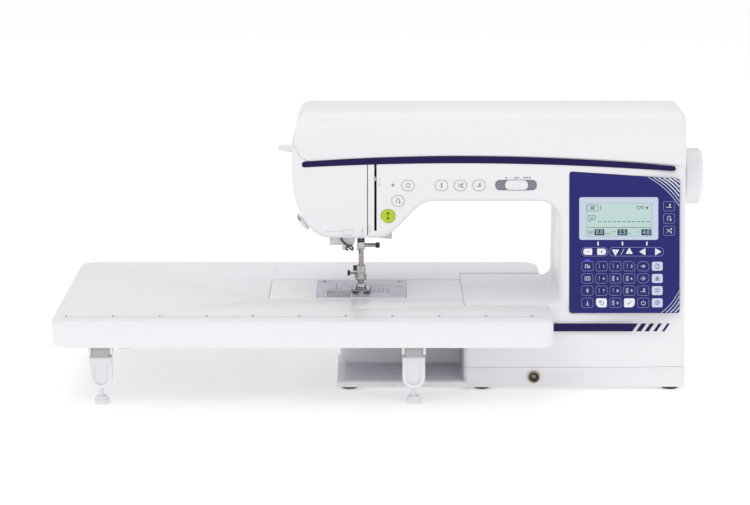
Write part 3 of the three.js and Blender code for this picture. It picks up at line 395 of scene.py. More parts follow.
def body_point(back_shift):
    total = body_back - body_front

    def place(x, z, depth):
        near = face_y(z)
        if depth < total / 2:
            return (x, near + depth, z)
        return (x, body_back - back_shift - (total - depth), z)
    return place


def through(loop, y0, y1):
    return rounded_run("cutter", loop, lambda x, z, d: (x, y0 + d, z), y1 - y0, 0, 0)


body_depth = body_back - body_front
rim_radius = 6.5 * MM
whole = rounded_run("body", body_loop(0, -20 * MM, 330 * MM), body_point(0), body_depth, rim_radius,
                    9 * MM, 6)


def hollow_point(x, z, depth):
    total = body_depth - 2 * lid_wall
    if depth < total / 2:
        return (x, face_y(z, lid_wall) + depth, z)
    return (x, body_back - lid_wall - (total - depth), z)


def face_run(loop, inner, outer, inner_radius=0, outer_radius=0, steps=3, name="cutter"):
    """An outline on the leaning face, run square to it from inner to outer."""
    return rounded_run(name, loop, lambda a, b, d: on_face(a, b, inner + d), outer - inner,
                       inner_radius, outer_radius, steps)


def round_box(x, y, wide, tall, radius, steps=6):
    a, b = wide / 2 - radius, tall / 2 - radius
    return (arc(x + a, y + b, radius, radius, 0, 90, steps) + arc(x - a, y + b, radius, radius, 90, 180,
                                                                  steps)
            + arc(x - a, y - b, radius, radius, 180, 270, steps)
            + arc(x + a, y - b, radius, radius, 270, 360, steps))


hollow = rounded_run("hollow", body_loop(lid_wall, -30 * MM, 340 * MM), hollow_point,
                     body_depth - 2 * lid_wall, 4 * MM, 6 * MM, 4)
shell = carve(copy_of(whole, "shell"), hollow, keep=True)
carve(shell, through(seam_loop(0, -60 * MM), body_front - 0.02, body_back + 0.02), operation="INTERSECT")
base_top = 26 * MM
mouth = slab(bed_left - 0.005, bed_left + 0.004, arm_low.y - 0.0004, arm_high.y + 0.0004,
             arm_low.z - 0.0004, deck_z - lid_wall)
needle_mouth = slab(needle_x - 0.038, needle_x + 0.027, needle_y - 0.022, needle_y + 0.056,
                    head_floor - 0.002, head_floor + 0.005)
wheel_low, wheel_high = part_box("handwheel")
shaft_y, shaft_z = (wheel_low.y + wheel_high.y) / 2, (wheel_low.z + wheel_high.z) / 2
wheel_hole = rounded_run("cutter", arc(shaft_y, shaft_z, 8 * MM, 8 * MM, 0, 360, 32),
                         lambda y, z, d: (body_right - 0.006 + d, y, z), 0.01, 0, 0)
lever_slot = slab(body_left - 0.002, body_left + 0.007, needle_y + 1.4 * MM, needle_y + 6.6 * MM,
                  209 * MM, 264.5 * MM)
below = slab(-0.5, 0.5, -0.3, 0.3, -0.1, base_top + 0.4 * MM)
carve(shell, below, mouth, needle_mouth, wheel_hole, lever_slot)

# The strip, the panel, the buttons and the speed slider each sit in a recess of the front.
strip_left, strip_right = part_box("accent_strip")[0].x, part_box("accent_strip")[1].x


def strip_loop(grow=0.0):
    a, b, g = strip_left - grow, strip_right + grow, grow
    end = 3 * MM
    middle = (a + b) / 2
    loop = bend((a + end, 0.187 - g), (middle, 0.1978 - g), (b - end, 0.1828 - g), 48)
    loop += bend((b - end, 0.1828 - g), (b + 0.6 * MM, 0.1832 - g), (b, 0.1856), 6)
    loop += bend((b, 0.1856), (b - 0.4 * MM, 0.1881 + g), (b - end, 0.1884 + g), 6)
    loop += bend((b - end, 0.1884 + g), (middle, 0.207 + g), (a + end, 0.1932 + g), 48)
    loop += bend((a + end, 0.1932 + g), (a, 0.1926 + g), (a, 0.19), 6)
    loop += bend((a, 0.19), (a, 0.187 - g), (a + end, 0.187 - g), 6)
    return loop


panel_low, panel_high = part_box("control_panel")


def up_face(z):
    return (z - lean_start) / math.cos(lean)


panel_foot = 27.2 * MM
panel_left_top, panel_right_top = up_face(238.8 * MM), up_face(231.4 * MM)


def panel_loop(grow=0.0, radius=3.0 * MM):
    a, b, low = panel_low.x - grow, panel_high.x + grow, panel_foot - grow
    left, right, r = panel_left_top + grow, panel_right_top + grow, radius + grow
    loop = arc(b - r, low + r, r, r, 270, 360, 6) + arc(b - r, right - r, r, r, 0, 90, 6)
    return loop + arc(a + r, left - r, r, r, 90, 180, 6) + arc(a + r, low + r, r, r, 180, 270, 6)


buttons = {}
for label in ("reinforce", "needle_position", "thread_cut", "foot_lift", "reverse", "start_stop"):
    low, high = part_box("button_" + label)
    middle_z = (low.z + high.z) / 2
    buttons[label] = ((low.x + high.x) / 2, up_face(middle_z) - 0.2 * MM, high.x - low.x,
                      14 * MM if label == "start_stop" else 11.4 * MM)
slider_low, slider_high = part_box("speed_slider")
row_up = up_face(224.4 * MM)
track_x = (slider_low.x + slider_high.x) / 2 - 0.5 * MM
thread_slot_x = needle_x + 16.1 * MM

recesses = [face_run(strip_loop(0.3 * MM), -1.5 * MM, 4 * MM),
            face_run(panel_loop(0.3 * MM), -1.7 * MM, 6 * MM)]
recesses += [face_run(round_box(x, up, wide + 0.7 * MM, tall + 0.7 * MM, tall / 2 + 0.1 * MM, 10), -8 * MM,
                      6 * MM)
             for x, up, wide, tall in buttons.values()]
recesses.append(face_run(round_box(track_x, row_up, 46 * MM, 11.6 * MM, 5.2 * MM), -1.6 * MM, 6 * MM,
                         0.5 * MM))
recesses.append(slab(thread_slot_x - 1.3 * MM, thread_slot_x + 1.3 * MM, body_front - 0.01, needle_y - 0.02,
                     head_floor + 8.4 * MM, 0.35))
carve(shell, *recesses)

split_x = needle_x + 7.3 * MM
covers = {
    "face_cover": slab(-1, split_x - 0.3 * MM, -0.5, parting_y, -0.1, 0.5),
    "front_cover": slab(split_x + 0.6 * MM, 1, -0.5, parting_y, -0.1, 0.5),
    "rear_cover": slab(-1, 1, parting_y + 0.4 * MM, 0.5, -0.1, 0.5),
}
inlet_low, inlet_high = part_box("power_inlet")
rocker_low, rocker_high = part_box("power_switch")
carry_low, carry_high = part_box("carry_handle")
rear_holes = [slab(body_right - 6 * MM, body_right + 9 * MM, low.y, high.y, low.z, high.z)
              for low, high in ((inlet_low, inlet_high), (rocker_low, rocker_high))]
rear_holes += [slab(x, x + 3 * MM, body_back - 9 * MM, body_back + 9 * MM, z, z + 16 * MM)
               for z in (56 * MM, 78 * MM) for x in (column_x + (18 + 8 * i) * MM for i in range(9))]
for node, region in covers.items():
    cover = carve(copy_of(shell, node + "_shell"), region, operation="INTERSECT")
    if node == "rear_cover":
        carve(cover, *rear_holes)
    smooth(cover, bevel=0.45 * MM, segments=2)
    cover.data.materials.append(white_shell)
    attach(cover, "machine")
    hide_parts(node)
bpy.data.objects.remove(shell)


# ------------------------------------------------------------------ base
# A moulded tray under the bed and column, with a ledge and a pedestal that carry the free arm.
# It stands on six ribbed rubber feet; the ledge has a grey non-slip plate with finger slots.
def repeat_tree():
    """Copies a template object over a grid and makes the copies real."""
    tree = bpy.data.node_groups.new("repeat_on_grid", "GeometryNodeTree")
    tree.is_modifier = True
    for label, kind in (("Template", "Object"), ("Columns", "Int"), ("Rows", "Int"), ("Pitch X", "Float"),
                        ("Pitch Y", "Float"), ("Material", "Material")):
        tree.interface.new_socket(label, in_out="INPUT", socket_type="NodeSocket" + kind)
    tree.interface.new_socket("Geometry", in_out="OUTPUT", socket_type="NodeSocketGeometry")

    def node(kind, **links):
        made = tree.nodes.new(kind)
        for label, source in links.items():
            socket = made.inputs[int(label[1:])] if label[1:].isdigit() else made.inputs[label.replace("_",
                                                                                                       " ")]
            if isinstance(source, bpy.types.NodeSocket):
                tree.links.new(source, socket)
            else:
                socket.default_value = source
        return made

    def math_node(operation, a, b):
        made = tree.nodes.new("ShaderNodeMath")
        made.operation = operation
        for socket, source in zip(made.inputs, (a, b)):
            if isinstance(source, bpy.types.NodeSocket):
                tree.links.new(source, socket)
            else:
                socket.default_value = source
        return made.outputs[0]

    given = tree.nodes.new("NodeGroupInput").outputs
    index = node("GeometryNodeInputIndex").outputs[0]
    column = math_node("MODULO", index, given["Columns"])
    row = math_node("FLOOR", math_node("DIVIDE", index, given["Columns"]), 0.0)
    place = node("ShaderNodeCombineXYZ", i0=math_node("MULTIPLY", column, given["Pitch X"]),
                 i1=math_node("MULTIPLY", row, given["Pitch Y"]))
    points = node("GeometryNodePoints", Count=math_node("MULTIPLY", given["Columns"], given["Rows"]),
                  Position=place.outputs[0])
    template = node("GeometryNodeObjectInfo", i0=given["Template"])
    copies = node("GeometryNodeInstanceOnPoints", Points=points.outputs[0],
                  Instance=template.outputs["Geometry"])
    real = node("GeometryNodeRealizeInstances", Geometry=copies.outputs[0])
    coloured = node("GeometryNodeSetMaterial", Geometry=real.outputs[0], Material=given["Material"])
    tree.links.new(coloured.outputs[0], tree.nodes.new("NodeGroupOutput").inputs[0])
    return tree


grid_tree = repeat_tree()


def run_tree(name, tree, values):
    """Runs a geometry tree on an empty piece and keeps the plain mesh that it makes."""
    piece = new_piece(name, bpy.data.meshes.new(name))
    maker = piece.modifiers.new("maker", "NODES")
    maker.node_group = tree
    for item in tree.interface.items_tree:
        if item.in_out == "INPUT" and item.name in values:
            maker[item.identifier] = values[item.name]
    return settle(piece)


def repeat_on_grid(name, template, columns, rows, pitch_x, pitch_y, material):
    made = run_tree(name, grid_tree, {"Template": template, "Columns": columns, "Rows": rows,
                                      "Pitch X": pitch_x, "Pitch Y": pitch_y, "Material": material})
    bpy.data.objects.remove(template)
    return made


def move(piece, matrix):
    piece.data.transform(matrix)
    return piece


def joined(name, pieces):
    """Several finished meshes as one piece."""
    work = bmesh.new()
    materials = []
    for piece in pieces:
        start = len(work.faces)
        work.from_mesh(piece.data)
        work.faces.ensure_lookup_table()
        own = [m for m in piece.data.materials]
        for face in work.faces[start:]:
            finish = own[face.material_index] if own else None
            if finish not in materials:
                materials.append(finish)
            face.material_index = materials.index(finish)
        bpy.data.objects.remove(piece)
    mesh = bpy.data.meshes.new(name)
    work.to_mesh(mesh)
    work.free()
    for finish in materials:
        mesh.materials.append(finish)
    return new_piece(name, mesh)


def rounded_block(name, x0, x1, y0, y1, z0, z1, corner, low=0.0, high=0.0, material=None, steps=4):
    loop = round_box((x0 + x1) / 2, (y0 + y1) / 2, x1 - x0, y1 - y0, corner)
    return rounded_run(name, loop, lambda x, y, d: (x, y, z0 + d), z1 - z0, low, high, steps, material)


def finish_piece(piece, body, slot, *replaced, material=None, bevel=0.0, angle=35):
    """The last steps of a piece: its rims, its material, and what it moves with."""
    smooth(piece, angle, bevel)
    if material:
        piece.data.materials.clear()
        piece.data.materials.append(material)
    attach(piece, body)
    if replaced:
        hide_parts(*replaced)
    return piece


grey_matt = plastic("grey_matt", (0.66, 0.66, 0.74), 0.5, 500, 0.2)
black_matt = plastic("black_matt", (0.022, 0.020, 0.022), 0.45, 500, 0.2)
ledge_x = base_low.x
ledge_z = 10.5 * MM
arm_gap_z = base_high.z
pedestal_y = needle_y + 12 * MM
pedestal_back = arm_high.y - 2 * MM
tray = carve(whole, slab(-1, 1, -1, 1, base_top, 1), slab(-1, 1, -1, 1, -1, 4 * MM))
carve(hollow, slab(-1, 1, -1, 1, -1, 7 * MM))
carve(tray, hollow)
ledge = rounded_block("ledge", ledge_x, bed_left + 4 * MM, body_front, pedestal_back, 4 * MM, ledge_z,
                      4 * MM, 1 * MM, 1.5 * MM)
pedestal = rounded_block("pedestal", ledge_x + 3 * MM, bed_left + 2 * MM, pedestal_y, pedestal_back,
                         ledge_z - 2 * MM, arm_gap_z, 5 * MM)
carve(tray, ledge, pedestal, operation="UNION")
socket_low, socket_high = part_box("knee_lifter_socket")
socket_x, socket_z = (socket_low.x + socket_high.x) / 2, (socket_low.z + socket_high.z) / 2
socket_loop = arc(socket_x, socket_z, 6.3 * MM, 6.3 * MM, 0, 360, 40)
carve(tray, through(socket_loop, body_front - 0.005, body_front + 0.005))
finish_piece(tray, "machine", "white_shell", "base_shell", material=white_shell, bevel=0.6 * MM)
tray.name = "base_tray"

slot_cut = rounded_block("slot_cut", 0, 5.2 * MM, 0, 2.2 * MM, 0, 3 * MM, 1 * MM)
grip_plate = rounded_block("ledge_plate", ledge_x + 9 * MM, bed_left - 3 * MM, body_front + 7 * MM,
                           pedestal_y - 2 * MM, ledge_z + 0.02 * MM, ledge_z + 0.9 * MM, 2 * MM, 0, 0.4 * MM)
slots = repeat_on_grid("slots", slot_cut, 6, 3, 16 * MM, 9 * MM, grey_matt)
carve(grip_plate,
      move(slots, Matrix.Translation((ledge_x + 22 * MM, body_front + 40 * MM, ledge_z - 1 * MM))))
finish_piece(grip_plate, "machine", "grey_plastic", material=grey_matt, bevel=0.15 * MM)

rubber = plastic("foot_rubber", (0.03, 0.03, 0.032), 0.8, 300, 0.5)
feet = []
for x in (bed_left + 20 * MM, body_right - 16 * MM):
    feet += [(x, body_front + 16 * MM), (x, body_back - 16 * MM)]
feet += [(ledge_x + 14 * MM, body_front + 16 * MM), (ledge_x + 14 * MM, arm_high.y - 16 * MM)]
pads = [rounded_run("pad", arc(x, y, 9 * MM, 9 * MM, 0, 360, 36), lambda u, v, d: (u, v, d), 5 * MM,
                    1.2 * MM, 0, 3) for x, y in feet]
finish_piece(joined("rubber_feet", pads), "machine", "black_plastic", material=rubber)

brass_ring = plastic("socket_ring", (0.30, 0.19, 0.09), 0.35)
ring = rounded_run("ring", socket_loop, lambda x, z, d: (x, body_front - 0.5 * MM + d, z), 2 * MM, 0.4 * MM,
                   0)
carve(ring,
      through(arc(socket_x, socket_z, 4.9 * MM, 4.9 * MM, 0, 360, 40), body_front - 0.01, body_front + 0.01))
finish_piece(ring, "machine", "black_plastic", material=brass_ring, bevel=0.15 * MM)
ring.name = "knee_socket_ring"
barrel = rounded_run("knee_socket", arc(socket_x, socket_z, 4.85 * MM, 4.85 * MM, 0, 360, 40),
                     lambda x, z, d: (x, body_front + 0.3 * MM + d, z), 13 * MM, 0.6 * MM, 0)
carve(barrel, slab(socket_x - 2.4 * MM, socket_x + 2.4 * MM, body_front - 0.01, body_front + 0.012,
                   socket_z - 2.4 * MM, socket_z + 2.4 * MM))
finish_piece(barrel, "machine", "black_plastic", "knee_lifter_socket", material=black_matt, bevel=0.2 * MM)

# ------------------------------------------------------------------ trim strips
# A dark inlay follows the lid's seam across the whole front, and a second one, printed,
# ends the column above the table with four slanted bars.
violet = plastic("violet_trim", (0.014, 0.006, 0.074), 0.3, 300, 0.03, gloss=0.22)
strip = face_run(strip_loop(), -1.3 * MM, 0.35 * MM, 0, 0.35 * MM, 3, "trim_strip")
finish_piece(strip, "machine", "purple_trim", "accent_strip", material=violet)


def film(name, loops, lift, material, place=on_face, thickness=0.06 * MM):
    """Thin printed shapes laid on a face: each is a closed outline."""
    shapes = [rounded_run("film", loop, lambda a, b, d: place(a, b, lift + d), thickness, 0, 0)
              for loop in loops]
    made = joined(name, shapes)
    made.data.materials.clear()
    made.data.materials.append(material)
    return made


def on_base(x, z, out):
    return (x, face_y(z) - out, z)


stripe_low, stripe_high, stripe_end = 67.1 * MM, 75.6 * MM, 315.3 * MM
slant = 6 * MM
bars = [(bed_left + 30 * MM, stripe_low), (stripe_end - 42 * MM, stripe_low),
        (stripe_end - 42 * MM + slant, stripe_high), (bed_left + 30 * MM, stripe_high)]
stripe_loops = [bars]
for i in range(4):
    start = stripe_end - 38 * MM + i * 9.4 * MM
    wide = (5.4 - 0.8 * i) * MM
    stripe_loops.append([(start, stripe_low), (start + wide, stripe_low), (start + wide + slant, stripe_high),
                         (start + slant, stripe_high)])
lower = film("lower_stripe", stripe_loops, 0.02 * MM, violet, on_base, 0.12 * MM)
finish_piece(lower, "machine", "purple_trim")


# ------------------------------------------------------------------ lid
# One long moulded cover over the deck, hinged along the back. Its crown is gently domed and its
# front lip follows the seam; two hinge barrels stand behind it.
lid_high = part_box("top_cover")[1]
crown_z = lid_high.z


def lid_side(inset):
    """The lid from its end: a steep front, a long low crown and a rounded back."""
    front, back, top = face_y(249.6 * MM, inset), body_back - inset, crown_z - inset
    lift = 56.4 * MM
    knee = (front + 5 * MM, top - lift * 0.52)
    brow = (front + 34 * MM, top - lift * 0.04)
    nape = (back - 26 * MM, top - lift * 0.1)
    loop = [(back, 200 * MM), (front - 7 * MM, 200 * MM), (front - 1.2 * MM, 237 * MM)]
    loop += bend(knee, (front + 9 * MM, top - lift * 0.1), brow, 14)
    loop += bend(brow, (needle_y + 40 * MM, top + 3.6 * MM), nape, 20)
    loop += bend(nape, (back - 2 * MM, top - lift * 0.16), (back, top - lift * 0.6), 12)
    return loop


def lid_front(inset):
    """The lid from the front: its two upper corners have their own radii."""
    a, b, top = body_left + inset, body_right - inset, crown_z + 2 * MM - inset
    left, right = 26 * MM - inset, 16 * MM - inset
    return ([(a, 180 * MM), (b, 180 * MM)] + arc(b - right, top - right, right, right, 0, 90, 12)
            + arc(a + left + 3.5 * MM, top - left, left, left * 0.9, 90, 180, 14) + [(a, 262 * MM)])


def along_x(x0):
    return lambda y, z, d: (x0 + d, y, z)


lid = rounded_run("lid", lid_side(0), along_x(body_left), body_right - body_left, 7 * MM, 7 * MM, 5)
carve(lid, through(lid_front(0), body_front - 0.02, body_back + 0.02), operation="INTERSECT")
inner = rounded_run("inner", lid_side(lid_wall), along_x(body_left + lid_wall),
                    body_right - body_left - 2 * lid_wall, 4 * MM, 4 * MM, 3)
carve(inner, through(lid_front(lid_wall), body_front - 0.02, body_back + 0.02), operation="INTERSECT")
carve(lid, inner)
carve(lid, through(seam_loop(0.4 * MM, 0.4), body_front - 0.02, body_back + 0.02), operation="INTERSECT")
barrels = [rounded_run("barrel", arc(body_back - 1.0 * MM, 262 * MM, 2.4 * MM, 2.4 * MM, 0, 360, 20),
                       along_x(x - 9 * MM), 18 * MM, 0.5 * MM, 0.5 * MM, 2)
           for x in (body_left + 60 * MM, body_right - 90 * MM)]
carve(lid, *barrels, operation="UNION")
finish_piece(lid, "lid", "white_shell", "top_cover", material=white_shell, bevel=1.1 * MM)
lid.name = "lid_shell"
ribs = [slab(x - 0.8 * MM, x + 0.8 * MM, body_front + 52 * MM, body_back - 14 * MM, 288 * MM, 296 * MM)
        for x in (body_left + 70 * MM, body_left + 170 * MM, body_left + 270 * MM, body_right - 60 * MM)]
finish_piece(joined("lid_ribs", ribs), "lid", "white_shell", material=white_shell)


# ------------------------------------------------------------------ extension table
# A wide hollow moulding that slides round the free arm and the bed, open underneath, with a
# printed ruler along its front edge and two fine moulded lines beside the free arm.
table_low, table_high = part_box("table_top")
table_front, table_back = table_low.y, table_high.y
table_foot_z = deck_z - 28.5 * MM
edge_radius = 3.2 * MM
notch_gap = 0.5 * MM


def slab_loop(inset, corner):
    wide, deep = table_high.x - table_low.x - 2 * inset, table_back - table_front - 2 * inset
    return round_box((table_low.x + table_high.x) / 2, (table_front + table_back) / 2, wide, deep, corner, 12)


def lift_from(z0):
    return lambda x, y, d: (x, y, z0 + d)


def notch(grow, z0, z1, radius=1.2 * MM):
    """The way in for the free arm, and the wider one for the bed; grow leaves a wall round them."""
    arm = rounded_block("notch", arm_low.x - notch_gap - grow, table_high.x + 60 * MM,
                        arm_low.y - notch_gap - grow, arm_high.y + notch_gap + grow, z0, z1, radius + grow)
    bed = rounded_block("notch", bed_left - notch_gap - grow, table_high.x + 60 * MM,
                        body_front - notch_gap - grow, body_back + notch_gap + grow, z0, z1, radius + grow)
    return carve(arm, bed, operation="UNION")


table = rounded_run("table_slab", slab_loop(0, 20 * MM), lift_from(table_foot_z), deck_z - table_foot_z,
                    1.2 * MM, edge_radius, 6)
carve(table, notch(0, table_foot_z - 2 * MM, deck_z + 2 * MM))
cavity = rounded_run("cavity", slab_loop(3 * MM, 17 * MM), lift_from(table_foot_z - 2 * MM),
                     deck_z - table_foot_z - 1 * MM, 0, 2 * MM, 3)
carve(cavity, notch(3 * MM, table_foot_z - 4 * MM, deck_z + 2 * MM))
carve(table, cavity)
arm_line = [rounded_block("line", x - 0.25 * MM, x + 0.25 * MM, arm_high.y + notch_gap - 0.2 * MM,
                          table_back - 8 * MM, deck_z - 0.35 * MM, deck_z + 1 * MM, 0.2 * MM)
            for x in (arm_low.x + 1 * MM, bed_left - 30 * MM)]
carve(table, *arm_line)
pivot_z = lean_start
leg_places = {}
for label in ("front_left", "front_right", "rear_left", "rear_right"):
    low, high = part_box("table_leg_" + label)
    leg_places[label] = ((low.x + high.x) / 2, (low.y + high.y) / 2)
ears = []
for x, y in leg_places.values():
    for hand in (-1, 1):
        near = x + hand * 9.8 * MM
        x0 = min(near, near + hand * 3 * MM)
        cheek = arc(y, pivot_z, 6.8 * MM, 6.8 * MM, 180, 360, 14)
        cheek = [(y - 6.8 * MM, deck_z - 2 * MM)] + cheek + [(y + 6.8 * MM, deck_z - 2 * MM)]
        ears.append(rounded_run("ear", cheek, along_x(x0), 3 * MM, 0.5 * MM, 0.5 * MM, 2))
carve(table, joined("ears", ears), operation="UNION")
table_white = plastic("table_white", (0.885, 0.862, 0.90), 0.3, 700, 0.05, coat=0.25)
finish_piece(table, "table", "white_table", "table_top", material=table_white, bevel=0.4 * MM)
table.name = "table_shell"
web_y = [(table_front + 8 * MM, arm_low.y - 8 * MM), (arm_high.y + 10 * MM, table_back - 8 * MM)]
web_x = [table_low.x + 36 * MM + 58 * MM * i for i in range(9)]
webs = [slab(x - 0.7 * MM, x + 0.7 * MM, y0, y1, table_foot_z + 9 * MM, deck_z - 2.9 * MM)
        for x in web_x for y0, y1 in web_y if y0 > 0 or x < bed_left - 10 * MM]
webs += [slab(table_low.x + 8 * MM, arm_low.x - 8 * MM, y - 0.7 * MM, y + 0.7 * MM,
              table_foot_z + 9 * MM, deck_z - 2.9 * MM) for y in (-90 * MM, -30 * MM, 30 * MM, 90 * MM)]
finish_piece(joined("table_webs", webs), "table", "white_table", material=table_white)

ruler_ink = plastic("ruler_ink", (0.05, 0.05, 0.07), 0.5, 300, 0.0, gloss=0.1)
ruler_y = table_front + 24 * MM
tick = rounded_block("tick", -0.22 * MM, 0.22 * MM, 0, 2.2 * MM, 0, 0.06 * MM, 0.05 * MM)
fine = repeat_on_grid("fine_ticks", tick, 102, 1, 5 * MM, 1, ruler_ink)
tick = rounded_block("tick", -0.35 * MM, 0.35 * MM, 0, 4.6 * MM, 0, 0.06 * MM, 0.05 * MM)
coarse = repeat_on_grid("coarse_ticks", tick, 11, 1, 50 * MM, 1, ruler_ink)
ruler_line = slab(table_low.x + 10 * MM, table_high.x - 12 * MM, ruler_y - 0.5 * MM, ruler_y,
                  deck_z, deck_z + 0.06 * MM)
ruler_line.data.materials.append(ruler_ink)
place = Matrix.Translation((table_low.x + 15 * MM, ruler_y, deck_z + 0.02 * MM))
move(fine, place)
move(coarse, place)


def digits(text, height, ink, place, thickness=0.08 * MM):
    """Plain printed figures, centred on their place."""
    curve = bpy.data.curves.new("digits", "FONT")
    curve.body = text
    curve.size = height / 0.72
    curve.align_x, curve.align_y = "CENTER", "CENTER"
    curve.extrude = thickness / 2
    curve.resolution_u = 3
    holder = bpy.data.objects.new("digits", curve)
    bpy.context.collection.objects.link(holder)
    bpy.context.view_layer.update()
    mesh = bpy.data.meshes.new_from_object(holder.evaluated_get(bpy.context.evaluated_depsgraph_get()))
    bpy.data.objects.remove(holder)
    mesh.materials.clear()
    mesh.materials.append(ink)
    piece = new_piece("digits", mesh)
    return move(piece, place)


figures = [digits(str(i * 5), 3.2 * MM, ruler_ink,
                  Matrix.Translation((table_low.x + 15 * MM + i * 50 * MM, ruler_y + 7.4 * MM,
                                      deck_z + 0.04 * MM)))
           for i in range(11)]
finish_piece(joined("table_ruler", [fine, coarse, ruler_line] + figures), "table", "black_plastic")


# ------------------------------------------------------------------ table legs and feet
# Four folding legs: a hub held by the table's ears, a white moulded shank with a round end,
# and a threaded foot with a knurled knob that levels the table. The hub's grey is painted shade:
# it stands for the shaded back of the leg above the shank.
def leg_front(x, z_top, inset):
    half = 12.25 * MM - inset
    round_z = 17 * MM + 12 * MM
    return ([(x + half, z_top)] + [(x - half, z_top)]
            + arc(x, round_z, half, 12 * MM - inset, 180, 360, 24))


def along_y(y0):
    return lambda x, z, d: (x, y0 + d, z)


# painted shade: the hub and its band are grey to stand for the shadow above the white shank
hub_painted_shade_grey = plastic("hub_painted_shade_grey", (0.48, 0.485, 0.495), 0.45, 500, 0.1)
for label, (x, y) in leg_places.items():
    shank = rounded_run("shank", leg_front(x, 52 * MM, 0), along_y(y - 6 * MM), 12 * MM, 1.4 * MM, 1.4 * MM,
                        4)
    side = -1 if y < 0 else 1
    dish = rounded_run("dish", leg_front(x, 46 * MM, 4 * MM), along_y(y + side * 4.9 * MM - 1.2 * MM),
                       2.4 * MM, 0.6 * MM, 0.6 * MM)
    bore = rounded_run("bore", arc(x, y, 2.8 * MM, 2.8 * MM, 0, 360, 20), lift_from(14 * MM), 18 * MM, 0, 0)
    carve(shank, dish, bore)
    finish_piece(shank, "leg_" + label, "white_table", material=table_white, bevel=0.25 * MM)
    shank.name = "leg_shank_" + label
    hub = rounded_run("hub", arc(y, pivot_z, 6.5 * MM, 6.5 * MM, 0, 360, 32), along_x(x - 9.4 * MM),
                      18.8 * MM,
                      0.6 * MM, 0.6 * MM, 2)
    band = rounded_block("band", x - 9.3 * MM, x + 9.3 * MM, y - 5.4 * MM, y + 5.4 * MM, 51.8 * MM, 60 * MM,
                         1 * MM)
    pin = rounded_run("pin", arc(y, pivot_z, 2.4 * MM, 2.4 * MM, 0, 360, 20), along_x(x - 13.2 * MM),
                      26.4 * MM,
                      0.5 * MM, 0.5 * MM, 2)
    carve(hub, band, pin, operation="UNION")
    finish_piece(hub, "leg_" + label, "grey_plastic", "table_leg_" + label, material=hub_painted_shade_grey, bevel=0.3 * MM)
    hub.name = "leg_hub_" + label
    flutes = [(x + r * math.cos(a), y + r * math.sin(a))
              for i in range(96) for a, r in [(math.tau * i / 96, (8.4 - 0.45 * (i % 4 == 0)) * MM)]]
    knob = rounded_run("knob", flutes, lift_from(0), 5.2 * MM, 0.7 * MM, 0.9 * MM, 3)
    collar = rounded_run("collar", arc(x, y, 6.9 * MM, 6.9 * MM, 0, 360, 40), lift_from(5 * MM), 3 * MM, 0,
                         0.8 * MM, 3)
    thread = rounded_run("thread", arc(x, y, 2.3 * MM, 2.3 * MM, 0, 360, 24), lift_from(7.5 * MM), 14 * MM, 0,
                         0.4 * MM, 2)
    winding = [rounded_run("turn", arc(x, y, 2.6 * MM, 2.6 * MM, 0, 360, 24),
                           lift_from(8.4 * MM + i * 1.2 * MM),
                           0.7 * MM, 0.3 * MM, 0.3 * MM, 2) for i in range(7)]
    foot = joined("table_foot_knob_" + label, [knob, collar, thread] + winding)
    finish_piece(foot, "foot_" + label, "white_table", "table_foot_" + label, material=table_white)


# ------------------------------------------------------------------ control panel
# A printed polycarbonate overlay in a recess of the column, with a monochrome display behind its
# window and soft keys moulded under it. Only figures and plain signs are printed on it.
face_matrix = Matrix(((1, 0, 0, 0), (0, math.sin(lean), -math.cos(lean), body_front),
                      (0, math.cos(lean), math.sin(lean), lean_start), (0, 0, 0, 1)))


def corner_box(x, y, wide, tall, radii, steps=6):
    """A rectangle with its own radius at each corner: top right, top left, bottom left, bottom right."""
    loop = []
    for (sx, sy, start), r in zip(((1, 1, 0), (-1, 1, 90), (-1, -1, 180), (1, -1, 270)), radii):
        loop += arc(x + sx * (wide / 2 - r), y + sy * (tall / 2 - r), r, r, start, start + 90, steps)
    return loop


def strokes(name, paths, width, lift, material, place=on_face, thick=0.07 * MM):
    """Printed lines: each path is a list of points, and it closes when its ends meet."""
    work = bmesh.new()
    for path in paths:
        closed = len(path) > 2 and (Vector(path[0]) - Vector(path[-1])).length < 1e-6
        line = [Vector(p) for p in (tidy_loop(path) if closed else path)]
        rows = []
        for i, here in enumerate(line):
            before = line[i - 1] if (i or closed) else here
            after = line[(i + 1) % len(line)] if (i + 1 < len(line) or closed) else here
            a, b = (here - before).normalized(), (after - here).normalized()
            along = (a + b).normalized() if (a + b).length > 1e-6 else a
            side = Vector((-along.y, along.x))
            square = Vector((-a.y, a.x)) if a.length else Vector((-b.y, b.x))
            reach = width / 2 / max(0.45, side.dot(square))
            ends = [here + side * reach, here - side * reach]
            rows.append([work.verts.new(place(*p, lift + d))
                         for p, d in ((ends[0], 0), (ends[1], 0), (ends[1], thick), (ends[0], thick))])
        pairs = list(zip(rows, rows[1:])) + ([(rows[-1], rows[0])] if closed else [])
        for low, high in pairs:
            for k in range(4):
                n = (k + 1) % 4
                work.faces.new((low[k], low[n], high[n], high[k]))
        if not closed:
            work.faces.new(rows[0][::-1])
            work.faces.new(rows[-1])
    bmesh.ops.recalc_face_normals(work, faces=work.faces)
    mesh = bpy.data.meshes.new(name)
    work.to_mesh(mesh)
    work.free()
    return new_piece(name, mesh, material)


def sign(lines, x, y, size):
    """A sign drawn on a unit square, at its place and size."""
    return [[(x + a * size / 2, y + b * size / 2) for a, b in line] for line in lines]


